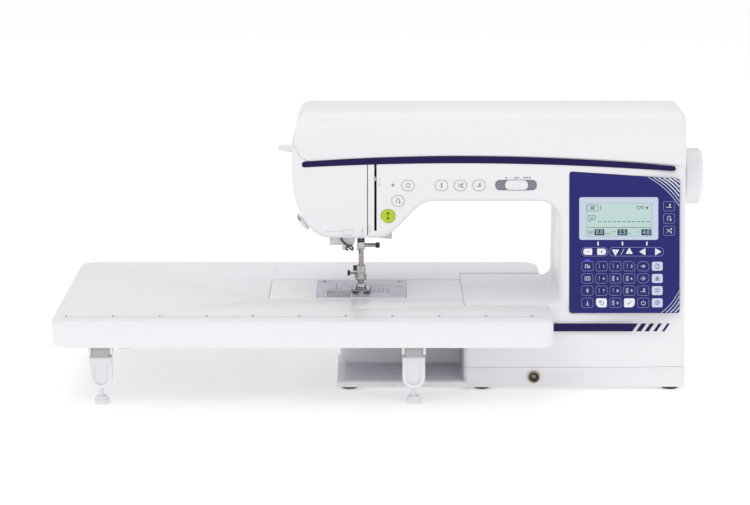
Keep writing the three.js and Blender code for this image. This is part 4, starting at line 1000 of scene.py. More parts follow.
ring_sign = arc(0, 0, 1, 1, 0, 360, 20)
turn_back = [[(-0.6, -0.9), (-0.6, 0.3)] + arc(0, 0.3, 0.6, 0.6, 180, 0, 10)[1:] + [(0.6, -0.5)],
             [(0.2, -0.3), (0.6, -0.9), (1.0, -0.3)]]
scissors = [[(-1, 0.75), (0.55, -0.5)], [(-1, -0.75), (0.55, 0.5)],
            [(0.78 + 0.26 * u, 0.62 + 0.3 * v) for u, v in ring_sign],
            [(0.78 + 0.26 * u, -0.62 + 0.3 * v) for u, v in ring_sign]]
up_down = [[(0, -0.9), (0, 0.9)], [(-0.4, 0.45), (0, 0.95), (0.4, 0.45)],
           [(-0.4, -0.45), (0, -0.95), (0.4, -0.45)]]
foot_sign = [[(0.1, 1.0), (0.1, -0.3)], [(0.5, 1.0), (0.5, -0.3)], [(-0.9, -0.45), (0.95, -0.45)],
             [(-0.9, -0.45), (-1.0, -0.2)], [(0.1, 0.3), (0.5, 0.3)]]
return_sign = [[(-0.2, 0.9), (-0.9, 0.4), (-0.2, -0.1)],
               [(-0.9, 0.4), (0.4, 0.4)] + arc(0.4, -0.15, 0.55, 0.55, 90, -90, 8)[1:] + [(-0.3, -0.7)]]
tick_sign = [[(-0.8, 0.0), (-0.25, -0.6), (0.85, 0.7)]]
power_sign = [arc(0, -0.1, 0.8, 0.8, 125, 415, 16), [(0, 0.1), (0, 1.0)]]
into_store = [[(-1, 0), (0.1, 0)], [(-0.3, 0.4), (0.15, 0), (-0.3, -0.4)],
              [(0.0, 0.7), (0.7, 0.0), (0.0, -0.7)]]
out_store = [[(-0.5, 0.7), (0.2, 0), (-0.5, -0.7)], [(0.1, 0.7), (0.8, 0), (0.1, -0.7)],
             [(-0.9, 0.3), (-0.9, -0.3)]]
frame_sign = [[(-1, -0.7), (-1, 0.7), (1, 0.7), (1, -0.7), (-1, -0.7)], [(-0.35, -0.7), (-0.35, 0.7)],
              [(0.35, -0.7), (0.35, 0.7)]]
cross_sign = [[(0, -1), (0, 1)], [(-0.6, 0.5), (0, 0.1), (0.6, 0.5)], [(-0.6, -0.1), (0, -0.5), (0.6, -0.1)]]
page_sign = [[(-0.6, -0.9), (-0.6, 0.9), (0.2, 0.9), (0.65, 0.45), (0.65, -0.9), (-0.6, -0.9)],
             [(0.2, 0.9), (0.2, 0.45), (0.65, 0.45)]]
mirror_sign = [[(0, -1), (0, 1)], [(-0.25, -0.7), (-0.9, -0.7), (-0.25, 0.6), (-0.25, -0.7)],
               [(0.25, -0.7), (0.9, -0.7), (0.25, 0.6), (0.25, -0.7)]]
size_sign = [[(-0.9, -0.6), (-0.9, 0.6), (0.1, 0.6), (0.1, -0.6), (-0.9, -0.6)],
             [(0.3, -0.6), (0.3, 0.1), (0.95, 0.1), (0.95, -0.6), (0.3, -0.6)]]
gear_sign = [[(0.55 * u, 0.55 * v) for u, v in ring_sign]] + [
    [(0.6 * math.cos(a), 0.6 * math.sin(a)),
     (math.cos(a), math.sin(a))] for a in (math.tau * i / 8 for i in range(8))]
needle_sign = [[(0, 0.9), (0, -0.5)], [(-0.3, -0.15), (0, -0.6), (0.3, -0.15)], [(-0.7, -0.9), (0.7, -0.9)]]
twin_wave = [[(-0.9, 0.4), (-0.45, 0.8), (0, 0.4), (0.45, 0.8), (0.9, 0.4)],
             [(-0.9, -0.5), (-0.45, -0.1), (0, -0.5), (0.45, -0.1), (0.9, -0.5)]]
zigzag = [[(0.5 * (-1) ** i, 1 - i * 0.33) for i in range(7)]]
dashes = [[(0, 1 - i * 0.5), (0, 0.75 - i * 0.5)] for i in range(4)]

panel_film = plastic("panel_film", (0.018, 0.021, 0.165), 0.32, 260, 0.02, gloss=0.22)
outline_ink = plastic("outline_ink", (0.30, 0.30, 0.56), 0.4, 300, 0.0)
white_ink = plastic("white_ink", (0.86, 0.87, 0.93), 0.4, 300, 0.0)
pale_key = plastic("pale_key", (0.64, 0.65, 0.84), 0.38, 300, 0.02)
navy_key = plastic("navy_key", (0.019, 0.023, 0.158), 0.38, 300, 0.02, gloss=0.22)
dark_ink = plastic("dark_ink", (0.035, 0.035, 0.13), 0.45, 300, 0.0)

overlay = face_run(panel_loop(), -1.4 * MM, 0.25 * MM, 0, 0.25 * MM, 3, "control_overlay")
window_low, window_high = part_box("lcd_window")
window_x = (window_low.x + window_high.x) / 2
window_up = (up_face(window_low.z) + up_face(window_high.z)) / 2 + 0.35 * MM
window_wide, window_tall = window_high.x - window_low.x, 46.8 * MM
carve(overlay,
      face_run(round_box(window_x, window_up, window_wide + 0.1 * MM, window_tall + 0.1 * MM, 2.6 * MM),
                        -2 * MM, 2 * MM))
finish_piece(overlay, "machine", "navy_panel", "control_panel", material=panel_film)

bezel_white = plastic("bezel_white", (0.585, 0.655, 0.80), 0.35, 300, 0.02, coat=0.4)
bezel = face_run(round_box(window_x, window_up, window_wide, window_tall, 2.6 * MM), -1.4 * MM, 0.28 * MM,
                 0, 0.25 * MM, 3, "display_bezel")
glass_wide, glass_tall = window_wide - 14.4 * MM, window_tall - 10.1 * MM
glass_x, glass_up = window_x + 0.3 * MM, window_up - 1.2 * MM
carve(bezel,
      face_run(round_box(glass_x, glass_up, glass_wide, glass_tall, 0.8 * MM), -0.7 * MM, 2 * MM, 0,
               0.6 * MM))
finish_piece(bezel, "machine", "navy_panel", material=bezel_white, bevel=0.2 * MM)


def build_display(tree, given, result):
    """A reflective display: its cells make a fine grid, and a painted highlight makes it paler towards the
    top.
    """
    place = shader_node(tree, "TexCoord").outputs["Object"]
    split = shader_node(tree, "SeparateXYZ", Vector=place)
    lines = []
    for axis in ("X", "Z"):
        cell = shader_node(tree, "Math", {"operation": "MULTIPLY"}, i0=split.outputs[axis], i1=2500.0)
        part = shader_node(tree, "Math", {"operation": "FRACT"}, i0=cell.outputs[0])
        lines.append(shader_node(tree, "Math", {"operation": "LESS_THAN"}, i0=part.outputs[0],
                                 i1=0.14).outputs[0])
    either = shader_node(tree, "Math", {"operation": "MAXIMUM"}, i0=lines[0], i1=lines[1])
    net = shader_node(tree, "Math", {"operation": "MULTIPLY"}, i0=either.outputs[0], i1=given["Grid"])
    # painted highlight: the colour runs from the painted shade colour to the painted light colour with height
    painted_light_ramp = shader_node(tree, "MapRange", Value=split.outputs["Z"], i1=0.165, i2=0.21, i3=0.0, i4=1.0)
    ground = shader_node(tree, "MixRGB", Fac=painted_light_ramp.outputs[0], Color1=given["Painted Shade Color"],
                         Color2=given["Painted Light Color"])
    shaded = shader_node(tree, "MixRGB", Fac=net.outputs[0], Color1=ground.outputs[0],
                         Color2=given["Line Color"])
    tree.links.new(shaded.outputs[0], result["Color"])


display_cells = join_group(
    "display_cells",
    [("Painted Shade Color", "Color", (0.5, 0.7, 0.68, 1)), ("Painted Light Color", "Color", (0.6, 0.75, 0.75, 1)),
     ("Line Color", "Color", (0.4, 0.55, 0.55, 1)), ("Grid", "Float", 0.3)],
    [("Color", "Color")], build_display)
display = plastic("display_glass", (0.565, 0.723, 0.70), 0.12, 300, 0.0)
cells = display.node_tree.nodes.new("ShaderNodeGroup")
cells.node_tree = display_cells
# painted highlight: the colours at the bottom and at the top of the display
cells.inputs["Painted Shade Color"].default_value = (0.50, 0.70, 0.63, 1)
cells.inputs["Painted Light Color"].default_value = (0.585, 0.735, 0.735, 1)
cells.inputs["Line Color"].default_value = (0.44, 0.60, 0.58, 1)
cells.inputs["Grid"].default_value = 0.35
display.node_tree.links.new(cells.outputs["Color"],
                            display.node_tree.nodes["Principled BSDF"].inputs["Base Color"])
glass = face_run(round_box(glass_x, glass_up, glass_wide - 0.2 * MM, glass_tall - 0.2 * MM, 0.6 * MM),
                 -0.68 * MM, -0.3 * MM, 0, 0.1 * MM, 2, "display_glass")
finish_piece(glass, "machine", "lcd_glass", "lcd_window", material=display)

# What the display shows: a stitch number, hearts, a dashed seam and three settings.
left_x, top_up = glass_x - glass_wide / 2, glass_up + glass_tall / 2
show = -0.28 * MM


def glass_at(x, down):
    return (left_x + x * MM, top_up - down * MM)


badge_x, badge_up = glass_at(7.2, 5.6)
thin = [round_box(badge_x, badge_up, 12.4 * MM, 6.6 * MM, 1.4 * MM)]
thin = [loop + loop[:1] for loop in thin]
for column in (-1, 0, 1):
    thin.append([(badge_x + column * 1.7 * MM, badge_up - 2 * MM),
                 (badge_x + column * 1.7 * MM, badge_up + 2 * MM)])
for row in (-1.2, 0, 1.2):
    thin.append([(badge_x - 2.6 * MM, badge_up + row * MM), (badge_x + 2.6 * MM, badge_up + row * MM)])


def heart(x, y, size):
    angles = [math.tau * i / 28 for i in range(29)]
    return [(x + size / 17 * 16 * math.sin(a) ** 3,
             y + size / 17 * (13 * math.cos(a) - 5 * math.cos(2 * a) - 2 * math.cos(3 * a) - math.cos(4 * a)))
            for a in angles]


thin.append(heart(*glass_at(57.5, 5.4), 2.3 * MM))
thin.append(heart(*glass_at(61.6, 5.0), 1.7 * MM))
star_x, star_up = glass_at(67.0, 5.4)
thin += sign([[(0, -1), (0, 1)], [(-0.8, 0), (0.8, 0)], [(-0.5, -0.5), (0.5, 0.5)],
              [(-0.5, 0.5), (0.5, -0.5)]],
             star_x, star_up, 4.4 * MM)
foot_x, foot_up = glass_at(6.4, 17.6)
thin += sign([[(-1, -0.6), (-1, 1), (1, 1), (1, -0.2), (-0.2, -0.2), (-0.5, -0.8), (-1, -0.6)],
              [(-0.5, 0.5), (0.5, 0.5)], [(-0.5, 0.1), (0.4, 0.1)]], foot_x, foot_up, 7.6 * MM)
thin.append([glass_at(0.8, 27.0), glass_at(glass_wide / MM - 1.0, 27.0)])
thin += sign([[(-1 + i * 0.4, 0.6 * (-1) ** i) for i in range(6)]], *glass_at(5.0, 32.2), 6 * MM)
thin += sign([[(-1, -0.5), (1, -0.5)]], *glass_at(23.5, 32.2), 5 * MM)
thin += sign([[(-1, 0.2), (-0.2, 0.2)], [(0.2, 0.2), (1, 0.2)]], *glass_at(30.5, 32.2), 5 * MM)
thin += sign([[(-1, -0.5), (1, -0.5)]], *glass_at(48.5, 32.2), 4 * MM)
thin += sign([[(-1, 0.1), (-0.4, 0.1)], [(-0.2, 0.1), (0.3, 0.1)], [(0.5, 0.1), (1, 0.1)]],
             *glass_at(56.5, 32.2), 6 * MM)
segments = strokes("segments", thin, 0.42 * MM, show, dark_ink)
dash = rounded_block("dash", 0, 3.6 * MM, -0.3 * MM, 0.3 * MM, 0, 0.06 * MM, 0.1 * MM)
seam_dashes = repeat_on_grid("seam_dashes", dash, 11, 1, 5.3 * MM, 1, dark_ink)
move(seam_dashes, face_matrix @ Matrix.Translation((*glass_at(13.4, 20.6), show)))
setting_boxes, settings = [], []
for x, text in ((14.7, "0.0"), (39.9, "2.5"), (66.1, "4.0")):
    centre = glass_at(x, 32.2)
    setting_boxes.append(round_box(*centre, 10.8 * MM, 6.6 * MM, 0.4 * MM))
    settings.append(digits(text, 4.6 * MM, display,
                           face_matrix @ Matrix.Translation((*centre, show + 0.1 * MM))))
plates = film("plates", setting_boxes, show, dark_ink)
number = digits("1", 5.0 * MM, dark_ink, face_matrix @ Matrix.Translation((*glass_at(16.2, 5.6), show)))
finish_piece(joined("display_segments", [segments, seam_dashes, plates, number] + settings), "machine",
             "lcd_glass")

# Soft keys: six columns of four, a column of three beside the display, and the two long pairs under it.
key_wide, key_tall, key_round = 12.4 * MM, 10.4 * MM, 2.2 * MM
key_columns = [panel_low.x + (19.8 + 15.3 * i) * MM for i in range(6)]
key_rows = [(78.6 - 13.37 * i) * MM for i in range(4)]
side_keys = [(panel_low.x + 109.1 * MM, (144.3 - 13.4 * i) * MM) for i in range(3)]
shapes = {(0, 1): (2.2, 5, 2.2, 2.2), (0, 3): (5, 2.2, 2.2, 2.2), (0, 4): (5, 5, 3, 3), (1, 4): (3, 3, 5, 5),
          (3, 1): (2.2, 2.2, 5, 2.2), (3, 3): (2.2, 2.2, 2.2, 5)}
key_bed = 0.25 * MM
rims, navy_pads, white_pads, pale_pads = [], [], [], []
for row, up in enumerate(key_rows):
    for column, x in enumerate(key_columns):
        radii = [r * MM for r in shapes.get((row, column), (2.2,) * 4)]
        filled = column == 5 or (row == 3 and column in (1, 3))
        loop = corner_box(x, up, key_wide, key_tall, radii)
        pad = corner_box(x, up, key_wide - 0.5 * MM, key_tall - 0.5 * MM, [r - 0.25 * MM for r in radii])
        if column == 5:
            pale_pads.append(pad)
        elif filled:
            white_pads.append(pad)
        else:
            navy_pads.append(pad)
            rims.append(loop + loop[:1])
for x, up in side_keys:
    loop = corner_box(x, up, key_wide, key_tall, [key_round] * 4)
    rims.append(loop + loop[:1])
    navy_pads.append(corner_box(x, up, key_wide - 0.5 * MM, key_tall - 0.5 * MM, [key_round] * 4))
pair_up = 94.5 * MM
for x0, x1 in ((13.4, 42.2), (43.7, 103.2)):
    wide = (x1 - x0) * MM
    loop = round_box(panel_low.x + (x0 + x1) / 2 * MM, pair_up, wide, 9.6 * MM, 4.7 * MM)
    rims.append(loop + loop[:1])
minus_x, plus_x = panel_low.x + 20.1 * MM, panel_low.x + 35.3 * MM
white_pads.append(corner_box(minus_x, pair_up, 9.8 * MM, 7 * MM, [1 * MM, 3 * MM, 3 * MM, 1 * MM]))
white_pads.append(corner_box(plus_x, pair_up, 9.8 * MM, 7 * MM, [3 * MM, 1 * MM, 1 * MM, 3 * MM]))


def triangle(x, turn_deg, size=4.2 * MM, soft=0.5 * MM):
    loop = []
    for i in range(3):
        a = math.radians(turn_deg + 120 * i)
        corner = (x + (size - soft) * math.cos(a), pair_up + (size - soft) * math.sin(a))
        loop += arc(*corner, soft, soft, turn_deg + 120 * i - 60, turn_deg + 120 * i + 60, 4)
    return loop


arrows = [(50.5, 270), (65.6, 90), (81.0, 180), (96.2, 0)]
white_pads += [triangle(panel_low.x + x * MM, turn) for x, turn in arrows]


def pads(name, loops, material):
    raised = [face_run(loop, key_bed - 0.1 * MM, key_bed + 0.4 * MM, 0, 0.3 * MM, 3, "pad") for loop in loops]
    made = joined(name, raised)
    return finish_piece(made, "machine", "navy_panel", material=material)


pads("navy_keys", navy_pads, navy_key)
pads("white_keys", white_pads, white_ink)
pads("pale_keys", pale_pads, pale_key)
key_rims = strokes("key_rims", rims, 0.42 * MM, key_bed, outline_ink)
marks_lift = key_bed + 0.41 * MM
signs = {(0, 0): size_sign, (1, 0): frame_sign, (2, 0): cross_sign, (3, 0): needle_sign, (0, 4): into_store,
         (1, 4): out_store, (2, 4): foot_sign, (3, 4): power_sign}
dark_signs = {(0, 5): page_sign, (1, 5): mirror_sign, (2, 5): twin_wave, (3, 5): gear_sign,
              (3, 1): return_sign, (3, 3): tick_sign}
light_lines, dark_lines = [], []
for (row, column), lines in signs.items():
    light_lines += sign(lines, key_columns[column], key_rows[row], 5.4 * MM)
for (row, column), lines in dark_signs.items():
    dark_lines += sign(lines, key_columns[column], key_rows[row], 5.4 * MM)
for (x, up), lines in zip(side_keys, (foot_sign, turn_back, scissors)):
    light_lines += sign(lines, x, up, 5.6 * MM)
numbers = [(0, 1), (0, 2), (0, 3), (1, 1), (1, 2), (1, 3), (2, 1), (2, 2), (2, 3), (3, 2)]
figures = []
for i, (row, column) in enumerate(numbers):
    x, up = key_columns[column], key_rows[row]
    light_lines += sign(zigzag if i in (4, 5, 8, 9) else dashes, x - 2.4 * MM, up, 5.6 * MM)
    figures.append(digits(str((i + 1) % 10), 3.2 * MM, white_ink,
                          face_matrix @ Matrix.Translation((x + 2.4 * MM, up - 0.3 * MM, marks_lift))))
dark_lines += [[(minus_x - 1.2 * MM, pair_up), (minus_x + 1.2 * MM, pair_up)],
               [(plus_x - 1.2 * MM, pair_up), (plus_x + 1.2 * MM, pair_up)],
               [(plus_x, pair_up - 1.2 * MM), (plus_x, pair_up + 1.2 * MM)]]
dark_lines += [[(panel_low.x + (x - 0.7) * MM, pair_up), (panel_low.x + (x + 0.7) * MM, pair_up)] for x,
               turn in arrows]
slash_x = panel_low.x + 58.1 * MM
light_lines.append([(slash_x - 1.8 * MM, pair_up - 3.2 * MM), (slash_x + 1.8 * MM, pair_up + 3.2 * MM)])
light_signs = strokes("light_signs", light_lines, 0.45 * MM, marks_lift, white_ink)
dark_signs_print = strokes("dark_signs", dark_lines, 0.5 * MM, marks_lift, dark_ink)
tick_marks = film("tick_marks", [round_box(panel_low.x + x * MM, 103.5 * MM, 1.5 * MM, 4.2 * MM, 0.5 * MM)
                                 for x in (31.4, 58.1, 84.8)], key_bed, white_ink)
finish_piece(joined("key_printing", [key_rims, light_signs, dark_signs_print, tick_marks] + figures),
             "machine", "navy_panel")

# Fine curved lines sweep across the two right-hand corners of the overlay.
fan = []
for i, width in enumerate((0.5, 0.7, 1.0, 1.2, 1.4, 1.2)):
    x0, s1 = panel_high.x - (34.5 - 5.6 * i) * MM, (144.5 + 5.2 * i) * MM
    share = (x0 - panel_low.x) / (panel_high.x - panel_low.x)
    top = panel_left_top + (panel_right_top - panel_left_top) * share
    x1 = panel_high.x - 0.5 * MM
    top -= 0.6 * MM
    curve = bend((x0, top), (x0 + (x1 - x0) * 0.62, top - (top - s1) * 0.36), (x1, s1), 14)
    fan.append(strokes("fan", [curve], width * MM, key_bed, white_ink))
for i, width in enumerate((0.45, 0.6, 0.8, 0.9)):
    x0, s1 = panel_high.x - (20.0 - 4.8 * i) * MM, panel_foot + (24.5 - 5.9 * i) * MM
    x1, foot = panel_high.x - 0.5 * MM, panel_foot + 0.6 * MM
    curve = bend((x0, foot), (x0 + (x1 - x0) * 0.62, foot + (s1 - foot) * 0.36), (x1, s1), 12)
    fan.append(strokes("fan", [curve], width * MM, key_bed, white_ink))
finish_piece(joined("panel_corner_lines", fan), "machine", "navy_panel")

glow = plastic("blue_light", (0.05, 0.05, 0.9), 0.3, 300, 0.0)
glow.node_tree.nodes["Principled BSDF"].inputs["Emission Color"].default_value = (0.08, 0.06, 1.0, 1)
glow.node_tree.nodes["Principled BSDF"].inputs["Emission Strength"].default_value = 0.9
lamp = face_run(round_box(key_columns[0], 85.4 * MM, 5.6 * MM, 1.1 * MM, 0.5 * MM), 0.2 * MM, 0.45 * MM, 0,
                0.1 * MM)
finish_piece(lamp, "machine", "navy_panel", material=glow)
lamp.name = "key_light"


# ------------------------------------------------------------------ front buttons
# Six oval push buttons stand a little proud of the arm, each in a fine shadow gap; the green one
# starts and stops the machine. Their signs are printed. A small lens beside them shows the state.
button_white = plastic("button_white", (0.86, 0.85, 0.875), 0.34, 500, 0.03, coat=0.2)
lime = plastic("lime_key", (0.46, 0.66, 0.022), 0.4, 500, 0.03, gloss=0.2)
sign_ink = plastic("sign_ink", (0.10, 0.10, 0.12), 0.5, 300, 0.0)
ring_ink = plastic("ring_ink", (0.36, 0.355, 0.39), 0.5, 300, 0.0)
button_signs = {"reinforce": ([ring_sign], 4.4), "needle_position": (up_down, 5.0),
                "thread_cut": (scissors, 5.6),
                "foot_lift": (foot_sign, 5.4), "reverse": (turn_back, 5.6)}
for label, (x, up, wide, tall) in buttons.items():
    radius = tall / 2 - 0.2 * MM
    cap = face_run(round_box(x, up, wide, tall, radius, 10), -3.6 * MM, 1.25 * MM, 0, 0.9 * MM, 5, "button")
    if label == "start_stop":
        ink, finish, slot = sign_ink, lime, "green_key"
        drop = [(x + 1.4 * MM * math.cos(a), up + 2.9 * MM + 1.5 * MM * math.sin(a))
                for a in (math.tau * i / 20 for i in range(20))]
        marks = film("marks", [triangle(x, 90, 1 * MM), drop,
                               [(px, py - 5.6 * MM) for px, py in drop]][1:], 1.26 * MM, ink)
        stem = strokes("stem", [[(x, up - 1.8 * MM), (x, up + 2.0 * MM)]], 0.7 * MM, 1.26 * MM, ink)
        marks = joined("marks", [marks, stem])
    else:
        ink, finish, slot = ring_ink, button_white, "white_shell"
        lines, size = button_signs[label]
        marks = strokes("marks", sign(lines, x, up, size * MM), 0.55 * MM, 1.26 * MM, sign_ink)
    body = "button_" + label
    finish_piece(cap, body, slot, body, material=finish)
    cap.name = "cap_" + label
    finish_piece(marks, body, "black_plastic")
    marks.name = "marks_" + label

lens_x, lens_up = needle_x + 35.3 * MM, row_up
led = face_run(arc(lens_x, lens_up, 1.7 * MM, 1.7 * MM, 0, 360, 24), -0.4 * MM, 0.5 * MM, 0, 0.5 * MM, 4,
               "state_light")
finish_piece(led, "machine", "black_plastic", material=ring_ink)


# ------------------------------------------------------------------ speed slider
# A white knob runs in a shallow grey track at the end of the row; dots above it show slow to fast.
track_grey = plastic("track_grey", (0.235, 0.235, 0.30), 0.5, 500, 0.1)
track = face_run(round_box(track_x, row_up, 45.6 * MM, 11.4 * MM, 5.1 * MM, 10), -1.58 * MM, -1.32 * MM, 0,
                 0.1 * MM,
                 2, "slider_track")
finish_piece(track, "machine", "grey_plastic", material=track_grey)
knob_x = (slider_low.x + slider_high.x) / 2
knob = face_run(round_box(knob_x, row_up, 25 * MM, 10.6 * MM, 4.6 * MM, 10), -1.25 * MM, 2.6 * MM, 0,
                1.6 * MM, 6,
                "slider_knob")
carve(knob, face_run(round_box(knob_x, row_up, 9 * MM, 16 * MM, 3.4 * MM), 1.6 * MM, 6 * MM, 1.0 * MM, 0, 3))
finish_piece(knob, "speed_slider", "white_shell", "speed_slider", material=button_white, bevel=0.25 * MM)
dots = [(knob_x - 11.4 * MM, 1), (knob_x + 0.2 * MM, 2), (knob_x + 11.6 * MM, 3)]
dot_loops = []
for x, count in dots:
    for i in range(count):
        middle = x + (i - (count - 1) / 2) * 2.9 * MM
        dot_loops.append(triangle(middle, 0, 1.2 * MM, 0.2 * MM))
dot_loops = [[(px, py - pair_up + row_up + 8.0 * MM) for px, py in loop] for loop in dot_loops]
finish_piece(film("speed_marks", dot_loops, 0.02 * MM, sign_ink), "machine", "black_plastic")


# ------------------------------------------------------------------ thread path
# The take-up lever rises in a slot between the front and face covers; the black liner and walls in it
# and the black strip behind the cover seam are painted shade. Beside it the covers carry a
# printed guide line with an arrow, in thin grey ink, that shows where the thread goes.
# painted shade: a near-black finish that stands for the shade in the slot and behind the seam
painted_shade_black = plastic("painted_shade_black", (0.012, 0.011, 0.011), 0.6, 300, 0.1)
slot_low = head_floor + 3.2 * MM
liner = rounded_block("thread_slot_liner", thread_slot_x - 4 * MM, thread_slot_x + 4 * MM, needle_y - 22 * MM,
                      needle_y - 20.6 * MM, slot_low, 236 * MM, 0.5 * MM, material=painted_shade_black)
finish_piece(liner, "machine", "black_plastic", material=painted_shade_black)
cheeks = []
for side in (-1, 1):
    x0 = thread_slot_x + side * 2.1 * MM
    wall = [(face_y(slot_low, 3.3 * MM), slot_low), (needle_y - 21 * MM, slot_low),
            (needle_y - 21 * MM, 236 * MM), (face_y(236 * MM, 3.3 * MM), 236 * MM)]
    cheeks.append(rounded_run("cheek", wall, along_x(min(x0, x0 + side * 0.8 * MM)), 0.8 * MM, 0, 0))
finish_piece(joined("thread_slot_walls", cheeks), "machine", "black_plastic", material=painted_shade_black)
# painted shade: a black strip behind the gap between the face and front covers
seam_line = [(face_y(z, 3.2 * MM), z) for z in (head_floor + 3.2 * MM, 236 * MM)]
seam_line += [(y + 1 * MM, z) for y, z in seam_line[::-1]]
finish_piece(rounded_run("cover_seam_liner", seam_line, along_x(split_x - 2 * MM), 4.6 * MM, 0, 0), "machine",
             "black_plastic", material=painted_shade_black)
guide_paths = [[(needle_x + x * MM, up_face((173 + z) * MM)) for x, z in line] for line in (
    [(-38, 1.4), (-20, 1.4), (-20, 3), (-9, 3), (-8, 1), (-9.6, -1), (-12, -2.6), (-16, -2.8), (-19.4, -1),
     (-20, 1.4)],
    [(-15, 0.6), (-14, -0.6)], [(2, 3.4), (2, -1.4)],
    [(1, 1.6), (2, 3.6), (3, 1.6)], [(8.7, 9), (8.7, 1.4), (9.7, 0.2), (10.8, 1.4), (10.8, 9)])]
arrow_path = [[(needle_x + 20.5 * MM, up_face(232 * MM)), (needle_x + 20.5 * MM, up_face(224 * MM))],
              [(needle_x + 19.3 * MM, up_face(226 * MM)), (needle_x + 20.5 * MM, up_face(223.6 * MM)),
               (needle_x + 21.7 * MM, up_face(226 * MM))]]
finish_piece(strokes("thread_marks", guide_paths + arrow_path, 0.3 * MM, 0.02 * MM, ring_ink), "machine",
             "black_plastic")


# ------------------------------------------------------------------ needle, clamp and thread guides
# A hollow steel needle bar carries a clamp with a long thumbscrew and the needle; a wire guide on the
# clamp and a bent hook on the head lead the thread down. All are ground or plated steel.
def build_ground(tree, given, result):
    """Ground steel: fine lines round the piece, a few scratches, darker where oil has dried."""
    place = shader_node(tree, "TexCoord").outputs["Object"]
    stretch = shader_node(tree, "Mapping", Vector=place, Scale=given["Grain"]).outputs["Vector"]
    lines = shader_node(tree, "TexNoise", Vector=stretch, Scale=60.0, Detail=4.0, Roughness=0.6)
    stain = shader_node(tree, "TexNoise", Vector=place, Scale=55.0, Detail=3.0)
    tone = shader_node(tree, "MapRange", Value=stain.outputs["Fac"], i1=0.4, i2=0.75, i3=1.0, i4=0.78)
    shade = shader_node(tree, "MixRGB", {"blend_type": "MULTIPLY"}, Fac=1.0, Color1=given["Color"],
                        Color2=tone.outputs["Result"])
    rough = shader_node(tree, "MapRange", Value=lines.outputs["Fac"], i3=-0.09, i4=0.11)
    total = shader_node(tree, "Math", {"operation": "ADD"}, i0=given["Roughness"], i1=rough.outputs["Result"])
    tree.links.new(shade.outputs["Color"], result["Color"])
    tree.links.new(total.outputs["Value"], result["Roughness"])
    tree.links.new(lines.outputs["Fac"], result["Height"])


ground = join_group("ground_metal",
                    [("Color", "Color", (0.6, 0.6, 0.6, 1)), ("Roughness", "Float", 0.3),
                     ("Grain", "Vector", (1, 1, 12))],
                    [("Color", "Color"), ("Roughness", "Float"), ("Height", "Float")], build_ground)


def metal(name, color, roughness=0.28, grain=(1, 1, 12), depth=0.06, metallic=1.0):
    made = bpy.data.materials.new(name)
    made.use_nodes = True
    made.diffuse_color = (*color, 1)
    tree = made.node_tree
    surface = tree.nodes["Principled BSDF"]
    finish = tree.nodes.new("ShaderNodeGroup")
    finish.node_tree = ground
    finish.inputs["Color"].default_value = (*color, 1)
    finish.inputs["Roughness"].default_value = roughness
    finish.inputs["Grain"].default_value = grain
    bump = shader_node(tree, "Bump", Height=finish.outputs["Height"], Strength=depth, Distance=0.0003)
    tree.links.new(finish.outputs["Color"], surface.inputs["Base Color"])
    tree.links.new(finish.outputs["Roughness"], surface.inputs["Roughness"])
    tree.links.new(bump.outputs["Normal"], surface.inputs["Normal"])
    surface.inputs["Metallic"].default_value = metallic
    return made


bar_steel = metal("bar_steel", (0.62, 0.54, 0.45), 0.2, (1, 1, 0.08))
plated = metal("plated_steel", (0.55, 0.54, 0.54), 0.15)
dark_steel = metal("dark_steel", (0.13, 0.12, 0.12), 0.35)


def disc(x, y, radius, steps=32):
    return arc(x, y, radius, radius, 0, 360, steps)


def rod_z(name, x, y, radius, z0, z1, rim=0.0, steps=32):
    return rounded_run(name, disc(x, y, radius, steps), lift_from(z0), z1 - z0, rim, rim, 3)


def rod_x(name, y, z, radius, x0, x1, rim=0.0, steps=32):
    return rounded_run(name, disc(y, z, radius, steps), along_x(x0), x1 - x0, rim, rim, 3)


def wire(name, path, radius, material):
    """A bent round wire along a smooth run of points."""
    curve = bpy.data.curves.new(name, "CURVE")
    curve.dimensions = "3D"
    curve.bevel_depth = radius
    curve.bevel_resolution = 3
    curve.use_fill_caps = True
    line = curve.splines.new("POLY")
    line.points.add(len(path) - 1)
    for point, place in zip(line.points, path):
        point.co = (*place, 1)
    holder = bpy.data.objects.new(name, curve)
    bpy.context.collection.objects.link(holder)
    bpy.context.view_layer.update()
    mesh = bpy.data.meshes.new_from_object(holder.evaluated_get(bpy.context.evaluated_depsgraph_get()))
    bpy.data.objects.remove(holder)
    return new_piece(name, mesh, material)


bar_low, bar_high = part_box("needle_bar")
clamp_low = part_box("needle_clamp")[0]
clamp_z = clamp_low.z
bar = rod_z("needle_bar_tube", needle_x, needle_y, 3.2 * MM, bar_low.z - 1 * MM, bar_high.z, 0.4 * MM)
carve(bar, slab(needle_x - 0.7 * MM, needle_x + 0.7 * MM, needle_y - 4 * MM, needle_y - 2.2 * MM,
                bar_low.z + 1 * MM, bar_low.z + 14 * MM))
finish_piece(bar, "needle_bar", "steel", "needle_bar", material=bar_steel)
block = rounded_block("clamp_block", needle_x - 4.4 * MM, needle_x + 4.4 * MM, needle_y - 5 * MM,
                      needle_y + 4.6 * MM, clamp_z, clamp_z + 8.4 * MM, 2.2 * MM, 0.6 * MM, 0.6 * MM)
carve(block, rod_z("bore", needle_x, needle_y, 1.3 * MM, clamp_z - 1 * MM, clamp_z + 7 * MM))
guide = wire("guide", [(needle_x - 4 * MM, needle_y - 3 * MM, clamp_z + 1.5 * MM)]
             + [(needle_x - 4 * MM + 0.4 * MM * i, needle_y - (4.4 + 0.9 * math.sin(i / 2)) * MM,
                 clamp_z - 0.4 * MM - 0.25 * MM * i) for i in range(8)]
             + [(needle_x + 1.6 * MM, needle_y - 4.6 * MM, clamp_z - 2.6 * MM)], 0.45 * MM, plated)
finish_piece(joined("clamp_with_guide", [block, guide]), "needle_bar", "steel", "needle_clamp",
             material=plated,
             bevel=0.1 * MM)
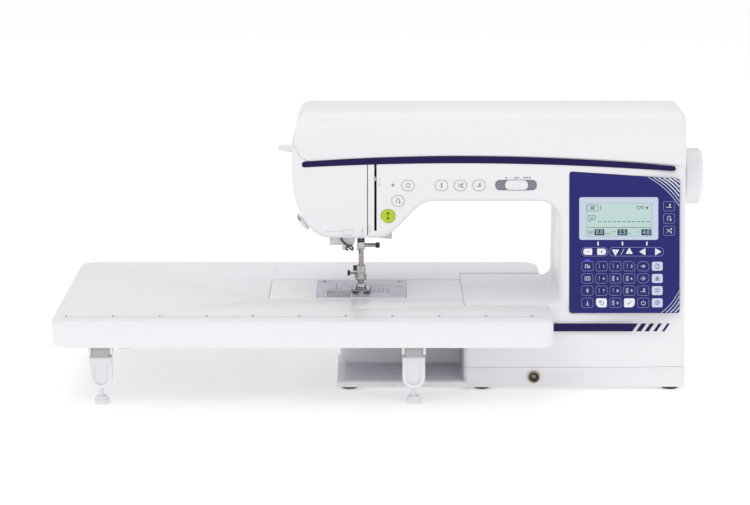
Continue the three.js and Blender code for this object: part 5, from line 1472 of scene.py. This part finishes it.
screw_y, screw_z = needle_y - 0.5 * MM, clamp_z + 4 * MM
stem = rod_x("stem", screw_y, screw_z, 2.1 * MM, needle_x + 3 * MM, needle_x + 17 * MM, 0.3 * MM)
collars = [rod_z("collar", needle_x, needle_y, 4.1 * MM, clamp_z + 8.4 * MM, clamp_z + 11.6 * MM, 0.4 * MM),
           rod_z("lip", needle_x, needle_y, 4.4 * MM, clamp_z + 10 * MM, clamp_z + 10.8 * MM, 0.2 * MM)]
ball = rounded_run("ball", [(screw_y + r * math.cos(a), screw_z + r * math.sin(a))
                            for i in range(72) for a,
                            r in [(math.tau * i / 72, (3.2 - 0.3 * (i % 3 == 0)) * MM)]],
                   along_x(needle_x + 16 * MM), 5 * MM, 1.3 * MM, 1.3 * MM, 4)
for piece, finish in ((stem, bar_steel), (collars[0], dark_steel), (collars[1], dark_steel),
                      (ball, dark_steel)):
    piece.data.materials.append(finish)
finish_piece(joined("clamp_thumbscrew", [stem, ball] + collars), "needle_bar", "steel", "clamp_screw")


def lathe(name, profile, place, sides=32, material=None):
    """A turned piece: profile is radius and height along its own axis, place puts it in the machine."""
    rings = [[place(r * math.cos(a), r * math.sin(a),
                    h) for a in (math.tau * i / sides for i in range(sides))]
             for r, h in profile]
    return loft(name, rings, material)


needle_tip = needle_low.z
needle_line = [(0.06, 0), (0.28, 2), (0.42, 5), (0.44, 8), (0.44, 23), (1, 25), (1, 35.4)]
sewing_needle = lathe("sewing_needle", [(r * MM, needle_tip + h * MM) for r, h in needle_line],
                      lambda a, b, h: (needle_x + a, needle_y + b, h), 20)
carve(sewing_needle, slab(needle_x - 0.16 * MM, needle_x + 0.16 * MM, needle_y - 2 * MM, needle_y + 2 * MM,
                          needle_tip + 5.4 * MM, needle_tip + 7 * MM),
      slab(needle_x - 0.12 * MM, needle_x + 0.12 * MM, needle_y - 2 * MM, needle_y - 0.28 * MM,
           needle_tip + 7 * MM, needle_tip + 23 * MM))
finish_piece(sewing_needle, "needle_bar", "steel", "needle", material=plated)

hook_z = head_floor - 3 * MM
hook_path = [(needle_x + x * MM, needle_y + y * MM, hook_z + z * MM) for x, y, z in (
    (-22, -13, 2), (-22.4, -14, -3), (-20.5, -15, -7), (-16.5, -16, -10), (-12.5, -16, -14.5),
    (-9.6, -15, -17),
    (-8.6, -14.5, -15), (-11, -14, -12), (-14.6, -13.6, -12.4), (-16.6, -13.6, -15.4), (-14.4, -14, -17.6))]
finish_piece(wire("thread_hook", hook_path, 1.25 * MM, dark_steel), "machine", "steel")
apron = [(needle_x + x * MM, head_floor + z * MM) for x,
         z in ((-34, 2), (-34, -7), (-31, -10.4), (-18, -13.6),
                                                               (-9.5, -16.6), (-7.6, -14), (-5.6, -6),
                                                               (-5.4, 2))]
finish_piece(rounded_run("thread_apron", apron, along_y(needle_y - 9.6 * MM), 1.4 * MM, 0.4 * MM, 0.4 * MM,
                         3), "machine",
             "grey_plastic", material=button_white, bevel=0.2 * MM)


# ------------------------------------------------------------------ presser bar and foot
# The presser bar stands behind the needle. A cast shank with a black thumbscrew clips on to it, and
# the snap-on zigzag foot rocks on its pin; the foot is stamped and plated, with a toe gap.
pbar_low, pbar_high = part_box("presser_bar")
sole_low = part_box("presser_foot")[0]
presser_y = (pbar_low.y + pbar_high.y) / 2
presser_rod = rod_z("presser_rod", needle_x, presser_y, 3 * MM, pbar_low.z - 4 * MM, pbar_high.z, 0.4 * MM)
presser_rod.data.materials.append(bar_steel)
rod_slot = rounded_block("rod_slot", needle_x - 2.4 * MM, needle_x - 0.4 * MM, presser_y - 3.15 * MM,
                         presser_y,
                         pbar_low.z + 12 * MM, pbar_low.z + 22 * MM, 0.9 * MM, material=dark_steel)
finish_piece(joined("presser_rod", [presser_rod, rod_slot]), "presser", "steel", "presser_bar")
pin_y, pin_z, sole_z = needle_y + 14 * MM, sole_low.z + 8.2 * MM, sole_low.z
shank = rounded_block("shank", needle_x - 5 * MM, needle_x + 5 * MM, presser_y - 5 * MM, presser_y + 5 * MM,
                      pin_z + 6 * MM, pin_z + 17.6 * MM, 2 * MM, 0.5 * MM, 0.5 * MM)
ankle = rounded_block("ankle", needle_x - 3 * MM, needle_x + 3 * MM, presser_y - 6 * MM, presser_y + 4 * MM,
                      pin_z - 3 * MM, pin_z + 10 * MM, 1 * MM, 0.6 * MM, 0)
wing = rounded_block("wing", needle_x - 7.6 * MM, needle_x + 6.4 * MM, presser_y - 4 * MM, presser_y + 3 * MM,
                     pin_z + 3.5 * MM, pin_z + 7 * MM, 1.2 * MM, 0.4 * MM, 0.4 * MM)
carve(shank, ankle, wing, operation="UNION")
carve(shank, rod_x("pin_way", pin_y, pin_z, 1.5 * MM, needle_x - 6 * MM, needle_x + 6 * MM))
shank.data.materials.append(plated)
screw_z = pin_z + 8.4 * MM
thumb = rounded_run("thumb", [(presser_y + r * math.cos(a), screw_z + r * math.sin(a))
                              for i in range(72) for a,
                              r in [(math.tau * i / 72, (3.2 - 0.3 * (i % 3 == 0)) * MM)]],
                    along_x(needle_x - 15.4 * MM), 3 * MM, 0.6 * MM, 0.8 * MM, 3)
thumb.data.materials.append(dark_steel)
neck = rod_x("neck", presser_y, screw_z, 1.4 * MM, needle_x - 13 * MM, needle_x - 4.5 * MM, 0.2 * MM)
grip = rod_x("grip", presser_y, pin_z + 14 * MM, 3.2 * MM, needle_x - 9 * MM, needle_x - 4 * MM, 0.8 * MM)
grip.data.materials.append(dark_steel)
neck.data.materials.append(plated)
release = rounded_block("release", needle_x - 2.4 * MM, needle_x + 2.4 * MM, presser_y + 3.6 * MM,
                        presser_y + 8 * MM,
                        pin_z - 0.5 * MM, pin_z + 3 * MM, 1 * MM, 0.4 * MM, 0.4 * MM)
release.data.materials.append(dark_steel)
smooth(shank, bevel=0.15 * MM)
finish_piece(joined("foot_shank", [shank, thumb, neck, grip, release]), "presser", "steel", "foot_holder")

heel, toe = needle_y + 16 * MM, needle_y - 17 * MM


def sole_line(lift):
    """The foot from its side: a flat sole that turns up at the toe."""
    line = [(heel, lift + 1 * MM), (heel - 1.5 * MM, lift)]
    line += bend((toe + 6 * MM, lift), (toe + 1 * MM, lift + 0.4 * MM), (toe, lift + 4.4 * MM), 10)
    line += bend((toe + 1.2 * MM, lift + 4.8 * MM), (toe + 2.4 * MM, lift + 2.2 * MM),
                 (toe + 7 * MM, lift + 2 * MM), 8)
    return line + [(heel - 0.6 * MM, lift + 2 * MM)]


sole = rounded_run("sole", sole_line(sole_z), along_x(needle_x - 10 * MM), 20 * MM, 0.5 * MM, 0.5 * MM, 3)
toe_gap = rounded_block("toe_gap", needle_x - 3 * MM, needle_x + 3 * MM, toe - 6 * MM, needle_y + 3 * MM,
                        sole_z - 2 * MM, sole_z + 9 * MM, 2.2 * MM)
swing = rounded_block("needle_way", needle_x - 5 * MM, needle_x + 5 * MM, needle_y - 2.2 * MM,
                      needle_y + 2.2 * MM,
                      sole_z - 2 * MM, sole_z + 9 * MM, 1.8 * MM)
carve(sole, toe_gap, swing)
cheek_line = [(heel - 9 * MM, sole_z + 1.5 * MM)] + arc(pin_y, pin_z, 2.6 * MM, 2.4 * MM, 170, 20, 8)
cheek_line += [(heel - 0.8 * MM, sole_z + 1.5 * MM)]
for side in (-1, 1):
    x = needle_x + side * 4.9 * MM
    carve(sole, rounded_run("cheek", cheek_line, along_x(x - 1.1 * MM), 2.2 * MM, 0.3 * MM, 0.3 * MM, 2),
          operation="UNION")
carve(sole, rod_x("pin", pin_y, pin_z, 1.1 * MM, needle_x - 6.2 * MM, needle_x + 6.2 * MM, 0.3 * MM),
      operation="UNION")
finish_piece(sole, "foot", "steel", "presser_foot", material=plated, bevel=0.12 * MM)
sole.name = "zigzag_foot"

lever_low, lever_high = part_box("lift_lever")
lift_y = (lever_low.y + lever_high.y) / 2
grip_line = [(needle_x + x * MM, head_floor + z * MM) for x, z in (
    (3, -2), (7, -3.4), (16, -7.5), (27, -9.8), (34, -9.8), (35, -10.6), (35, -16.4), (34, -17.4), (20, -16),
    (7, -13.6), (3, -9))]
lift_grip = rounded_run("lift_grip", grip_line, along_y(lift_y - 3 * MM), 6 * MM, 1.2 * MM, 1.2 * MM, 4)
hub = rounded_run("hub", disc(needle_x + 3 * MM, head_floor - 5 * MM, 4 * MM), along_y(lift_y - 3 * MM),
                  6 * MM,
                  0.6 * MM, 0.6 * MM, 3)
carve(lift_grip, hub, operation="UNION")
finish_piece(lift_grip, "lift_lever", "grey_plastic", "lift_lever", material=button_white, bevel=0.2 * MM)


# ------------------------------------------------------------------ free arm, needle plate and bobbin cover
# The free arm is moulded like the covers. A ground steel plate on it carries etched seam lines, and a
# clear slide over the bobbin lifts out beside it.
def refined(node, body, slot_name, finish, rim=0.3, extras=(), angle=30):
    """A part's own form with its facets merged, its edges broken and its curves shaded round."""
    work = bmesh.new()
    work.from_mesh(nodes[node].data)
    bmesh.ops.remove_doubles(work, verts=work.verts, dist=2e-6)
    bmesh.ops.dissolve_limit(work, angle_limit=0.02, verts=work.verts, edges=work.edges)
    mesh = bpy.data.meshes.new(node + "_form")
    work.to_mesh(mesh)
    work.free()
    form = smooth(new_piece(node + "_form", mesh, finish), angle, rim * MM)
    return finish_piece(joined(node + "_finished", [form, *extras]), body, slot_name, node, angle=angle)


def inked(piece, finish):
    piece.data.materials.clear()
    piece.data.materials.append(finish)
    return piece


def screw_head(x, y, z, radius, normal):
    """A cross-slotted screw head, seen from along its normal."""
    head = rod_z("screw", 0, 0, radius, 0, radius * 0.5, radius * 0.25, 24)
    arm = radius * 0.55
    carve(head, slab(-arm, arm, -radius / 8, radius / 8, radius * 0.2, radius),
          slab(-radius / 8, radius / 8, -arm, arm, radius * 0.2, radius))
    turn = Vector(normal).to_track_quat("Z", "Y").to_matrix().to_4x4()
    return inked(move(head, Matrix.Translation((x, y, z)) @ turn), plated)


plate_steel = metal("plate_steel", (0.66, 0.65, 0.74), 0.36, (0.12, 1, 1), metallic=0.4)
etched = plastic("etched_lines", (0.06, 0.06, 0.09), 0.5, 300, 0.0)
clear = plastic("clear_cover", (0.60, 0.62, 0.66), 0.12, 300, 0.02, coat=0.5)
clear.node_tree.nodes["Principled BSDF"].inputs["Alpha"].default_value = 0.45
plate_low, plate_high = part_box("needle_plate")


def on_plate(x, y, out):
    return (needle_x + x * MM, needle_y + y * MM, plate_high.z + out)


marks = [[(x, -4), (x, 10)] for x in (10, 15, 20, 25, 30)] + [[(8, 10), (34, 10)], [(8, -4), (26, -4)]]
marks += [[(-28, 6), (-28, 40)], [(-25, 6), (-12, 6)], [(-35, 30), (-29, 30)], [(-23, 40), (-17, 37)],
          [(33, 22), (47, 22)]]
marks += [[(x, y - 1), (x, y + 1)] for y in (18, 30) for x in (-14, -10, 12, 16, 20, 24, 28)]
marks.append([(-26 + 17 * math.cos(a),
               -18 + 24 * math.sin(a)) for a in (math.pi * (0.5 + i / 20) for i in range(10))])
numbers = [digits(str(10 + 5 * i), 2.6 * MM, etched,
                  Matrix.Translation(on_plate(11 + 10 * i, -9, 0.06 * MM))) for i in range(3)]
plate_screws = [screw_head(plate_low.x + 7 * MM, plate_high.y - 8 * MM, plate_high.z - 0.2 * MM, 2.6 * MM,
                           (0, 0, 1)),
                screw_head(plate_high.x - 7 * MM, plate_high.y - 8 * MM, plate_high.z - 0.2 * MM, 2.6 * MM,
                           (0, 0, 1))]
refined("free_arm_cover", "machine", "white_shell", white_shell, 0.9)
refined("needle_plate", "machine", "steel", plate_steel, 0.12,
        [strokes("seam_lines", marks, 0.55, 0.01 * MM, etched, on_plate, 0.05 * MM)] + numbers + plate_screws)
refined("bobbin_cover", "bobbin_cover", "clear_plastic", clear, 0.2)

# ------------------------------------------------------------------ hook, bobbin and feed
# Under the plate the steel hook turns round a black case with a clear bobbin, and two rows of teeth
# carry the cloth on a cast carrier, which a small lever behind the arm drops.
cast = metal("cast_alloy", (0.42, 0.42, 0.43), 0.5, (1, 1, 1), 0.5, 0.85)
refined("rotary_hook", "hook", "steel", plated, 0.25)
refined("bobbin_case", "machine", "black_plastic", black_matt, 0.3)
refined("bobbin", "bobbin", "clear_plastic", clear, 0.2)
refined("feed_carrier", "feed_carrier", "cast_metal", cast, 0.4)
refined("feed_dogs", "feed_dogs", "steel", dark_steel, 0.06)
refined("feed_drop_lever", "drop_lever", "black_plastic", black_matt, 0.6)

# ------------------------------------------------------------------ threader, take-up lever and lamp
# The threader's white lever stands out of the head's left side; the polished take-up lever rises in
# its slot. A small lens under the head lights the plate.
peg = refined("threader_lever", "threader", "white_shell", button_white, 0.7)
peg_low, peg_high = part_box("threader_lever")
tip_x, tip_z = peg_low.x, peg_high.z
under = [(-2, -14), (16.6, -14), (16.6, -8.6), (4, -6.6), (1.6, -5.6), (-2, -3)]
over = [(-2, -3.2), (0.3, -2), (2, -0.8), (4.6, 0.1), (4.6, 2), (-2, 2)]
carve(peg,
      *[rounded_run("trim", [(tip_x + x * MM, tip_z + z * MM) for x, z in line], along_y(peg_low.y - 5 * MM),
                         30 * MM, 0, 0) for line in (under, over)])
smooth(peg, bevel=0.5 * MM)
cutter_form = [(body_left + x * MM, head_floor + z * MM) for x, z in
               ((4.6, 19.6), (6, 20.4), (13, 11), (18, 4), (15, 3), (7, 12))]
cutter_body = rounded_run("cutter_body", cutter_form, along_y(needle_y - 18 * MM), 16 * MM, 1 * MM, 1 * MM, 3,
                          button_white)
blade = wire("blade", [(body_left + x * MM, needle_y - 18.6 * MM, head_floor + z * MM)
                       for x, z in ((5.4, 18.6), (6.4, 17), (7.6, 15.2), (8.6, 14.8))], 0.6 * MM, dark_steel)
finish_piece(joined("thread_cutter", [cutter_body, blade]), "machine", "white_shell")
refined("threader_hook", "threader", "white_shell", button_white, 0.4)
refined("takeup_lever", "takeup", "steel", plated, 0.2)
lamp_glass = plastic("lamp_lens", (0.9, 0.9, 0.86), 0.15, 200, 0.3, coat=0.6)
lens_piece = rounded_block("lamp_lens", needle_x - 30 * MM, needle_x - 14 * MM, needle_y + 30 * MM,
                           needle_y + 46 * MM,
                           head_floor - 1.2 * MM, head_floor + 2 * MM, 3 * MM, 0.8 * MM, 0)
finish_piece(lens_piece, "machine", "clear_plastic", material=lamp_glass)

# ------------------------------------------------------------------ top deck, spool pin and winder
# Under the lid a white deck holds the spool pin with its cap, the bobbin winder with its stop, and
# the hooks of the upper thread path, which are bent wire.
deck_low, deck_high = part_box("top_deck")
spool_low, spool_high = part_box("spool_pin")
spool_y, spool_z = (spool_low.y + spool_high.y) / 2, spool_high.z - 6 * MM
wind_low, wind_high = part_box("bobbin_winder")
refined("top_deck", "machine", "white_shell", white_shell, 0.5)
cap_line = [(2.2, 0), (13, 0), (14, 0.8), (14, 2), (12, 3), (6, 5), (5, 9), (4.4, 10), (2.2, 10)]
spool_cap = lathe("cap", [(r * MM, spool_high.x - 16 * MM + h * MM) for r, h in cap_line],
                  lambda a, b, h: (h, spool_y + a, spool_z + b), 40, button_white)
refined("spool_pin", "machine", "white_shell", button_white, 0.5, [spool_cap])
refined("bobbin_winder", "winder", "white_shell", button_white, 0.4)
stop = lathe("winder_stop",
             [(r * MM, deck_high.z + h * MM) for r, h in ((6, 0), (6, 9), (5.4, 10), (0.1, 10.2))],
             lambda a, b, h: (wind_high.x + 16 * MM + a, wind_low.y + b, h), 32, button_white)
finish_piece(stop, "machine", "white_shell")
guides = [wire("guide", [(x + a * MM, spool_y + b * MM, deck_high.z + h * MM) for a, b, h in (
    (0, 0, -0.5), (0, 0, 7), (1, -1, 9), (3, -3, 9.4), (4, -6, 8), (3, -8, 6), (1, -8, 5))], 0.8 * MM, plated)
    for x in (deck_low.x + 30 * MM, deck_low.x + 90 * MM, spool_high.x + 60 * MM)]
finish_piece(joined("thread_wires", guides), "machine", "steel")
marks = strokes("route",
                [[(deck_low.x + 40 * MM, spool_y - 18 * MM), (spool_high.x + 50 * MM, spool_y - 18 * MM)],
                          [(deck_low.x + 46 * MM, spool_y - 15 * MM),
                           (deck_low.x + 40 * MM, spool_y - 18 * MM),
                           (deck_low.x + 46 * MM, spool_y - 21 * MM)]], 1 * MM, 0.02 * MM, ring_ink,
                lambda x, y, out: (x, y, deck_high.z + out))
finish_piece(marks, "machine", "black_plastic")

# ------------------------------------------------------------------ handwheel and carrying handle
# The handwheel is a fluted white drum with a dished face; the handle is a thick strap that folds
# flat behind the column on two pins.
wheel_line = [(9, 0.2, 0), (29.4, 0.2, 0), (30.9, 1.4, 0), (31.2, 3, 0), (31.2, 4, 0.5), (31.2, 14.6, 0.5),
              (31.2, 15.6, 0),
              (30.6, 17.6, 0), (28.8, 19.2, 0), (26.6, 19.3, 0), (25.2, 18, 0), (23.6, 16.4, 0),
              (12, 15.9, 0), (10.6, 16.4, 0),
              (9.8, 18, 0), (8.6, 18.6, 0), (0.1, 18.7, 0)]


def wheel_point(r, h, dip, i, sides=216):
    around, reach = math.tau * i / sides, (r - dip * (i % 3 == 0)) * MM
    return (wheel_low.x + h * MM, shaft_y + reach * math.cos(around), shaft_z + reach * math.sin(around))


wheel = loft("fluted_handwheel",
             [[wheel_point(r, h, dip, i) for i in range(216)] for r, h, dip in wheel_line])
finish_piece(wheel, "main_shaft", "white_shell", "handwheel", material=white_shell, angle=40)
refined("carry_handle", "handle", "white_shell", white_shell, 1.6)
pivot_z = carry_high.z - 4.5 * MM
pivot_y = (carry_low.y + carry_high.y) / 2
ears = []
for x, inward in ((carry_low.x - 3.8 * MM, 1), (carry_high.x + 3.8 * MM, -1)):
    ears.append(rounded_block("ear", x - 3 * MM, x + 3 * MM, body_back - 2 * MM, pivot_y, pivot_z - 6 * MM,
                              pivot_z + 6 * MM, 0.6 * MM, 0.5 * MM, 0.5 * MM, white_shell))
    ears.append(inked(rod_x("boss", pivot_y, pivot_z, 6 * MM, x - 3 * MM, x + 3 * MM, 0.8 * MM), white_shell))
    ears.append(inked(rod_x("pin", pivot_y, pivot_z, 2.4 * MM, min(x, x + inward * 10 * MM),
                            max(x, x + inward * 10 * MM), 0.3 * MM), plated))
finish_piece(joined("handle_ears", ears), "machine", "white_shell")

# ------------------------------------------------------------------ power inlet, switch and rear screws
# The right side holds the mains inlet with two blades and a rocker switch; six screws close the back.
inlet_y, inlet_z = (inlet_low.y + inlet_high.y) / 2, (inlet_low.z + inlet_high.z) / 2
blades = [inked(rounded_run("blade", disc(inlet_y + side * 4.4 * MM, inlet_z, 1.2 * MM, 16),
                            along_x(inlet_low.x + 3 * MM), 10 * MM, 0, 0.8 * MM), plated) for side in (-1, 1)]
refined("power_inlet", "machine", "black_plastic", black_matt, 0.3, blades)
rocker_mark = strokes("mark", [[(0.55 * inlet_y + 0.45 * rocker_high.y, rocker_high.z - 6 * MM),
                                (0.55 * inlet_y + 0.45 * rocker_low.y, rocker_high.z - 6 * MM)]], 0.8 * MM,
                                0.02 * MM,
                      white_ink, lambda y, z, out: (rocker_high.x + out - 0.1 * MM, y, z))
refined("power_switch", "power_rocker", "black_plastic", black_matt, 0.4, [rocker_mark])
rear_screws = [screw_head(x, body_back - 0.3 * MM, z, 4 * MM, (0, 1, 0))
               for x, z in ((body_left + 26 * MM, 0.23), (column_x - 90 * MM, 0.23),
                            (column_x - 4 * MM, 0.235),
                            (body_right - 7 * MM, 0.2), (column_x + 10 * MM, 0.12),
                            (body_right - 9 * MM, 0.12))]
finish_piece(joined("rear_screws", rear_screws), "machine", "steel")

# ------------------------------------------------------------------ frame, shafts, motor and board
# Inside, a cast alloy frame carries two steel shafts, joined by a toothed belt and driven by a small
# motor; a green board with rows of parts stands behind it.
motor_black = metal("motor_casing", (0.30, 0.30, 0.31), 0.4, (1, 1, 1), 0.2, 0.9)
belt_black = plastic("belt_rubber", (0.02, 0.02, 0.021), 0.7, 400, 0.5)
board_green = plastic("board_green", (0.012, 0.13, 0.06), 0.35, 400, 0.2, coat=0.3)
refined("cast_frame", "machine", "cast_metal", cast, 0.5)
refined("main_shaft", "main_shaft", "steel", bar_steel, 0.3)
refined("lower_shaft", "lower_shaft", "steel", bar_steel, 0.3)
refined("drive_motor", "machine", "motor_steel", motor_black, 0.8)
refined("motor_pulley", "motor_rotor", "steel", plated, 0.2)
refined("timing_belt", "machine", "belt_rubber", belt_black, 0.2)
refined("drive_belt", "machine", "belt_rubber", belt_black, 0.2)
board_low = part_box("circuit_board")[0]
chip = rounded_block("chip", 0, 10 * MM, -2.4 * MM, 0, 0, 7 * MM, 0.3 * MM, 0.2 * MM, 0.2 * MM)
chips = repeat_on_grid("chips", chip, 7, 1, 15 * MM, 1, black_matt)
rows = [copy_of(chips, "row") for _ in range(6)]
for i, row in enumerate(rows):
    move(row,
         Matrix.Translation((board_low.x + 6 * MM, board_low.y + 0.1 * MM, board_low.z + (12 + 23 * i) * MM)))
bpy.data.objects.remove(chips)
refined("circuit_board", "machine", "board", board_green, 0.2, rows)
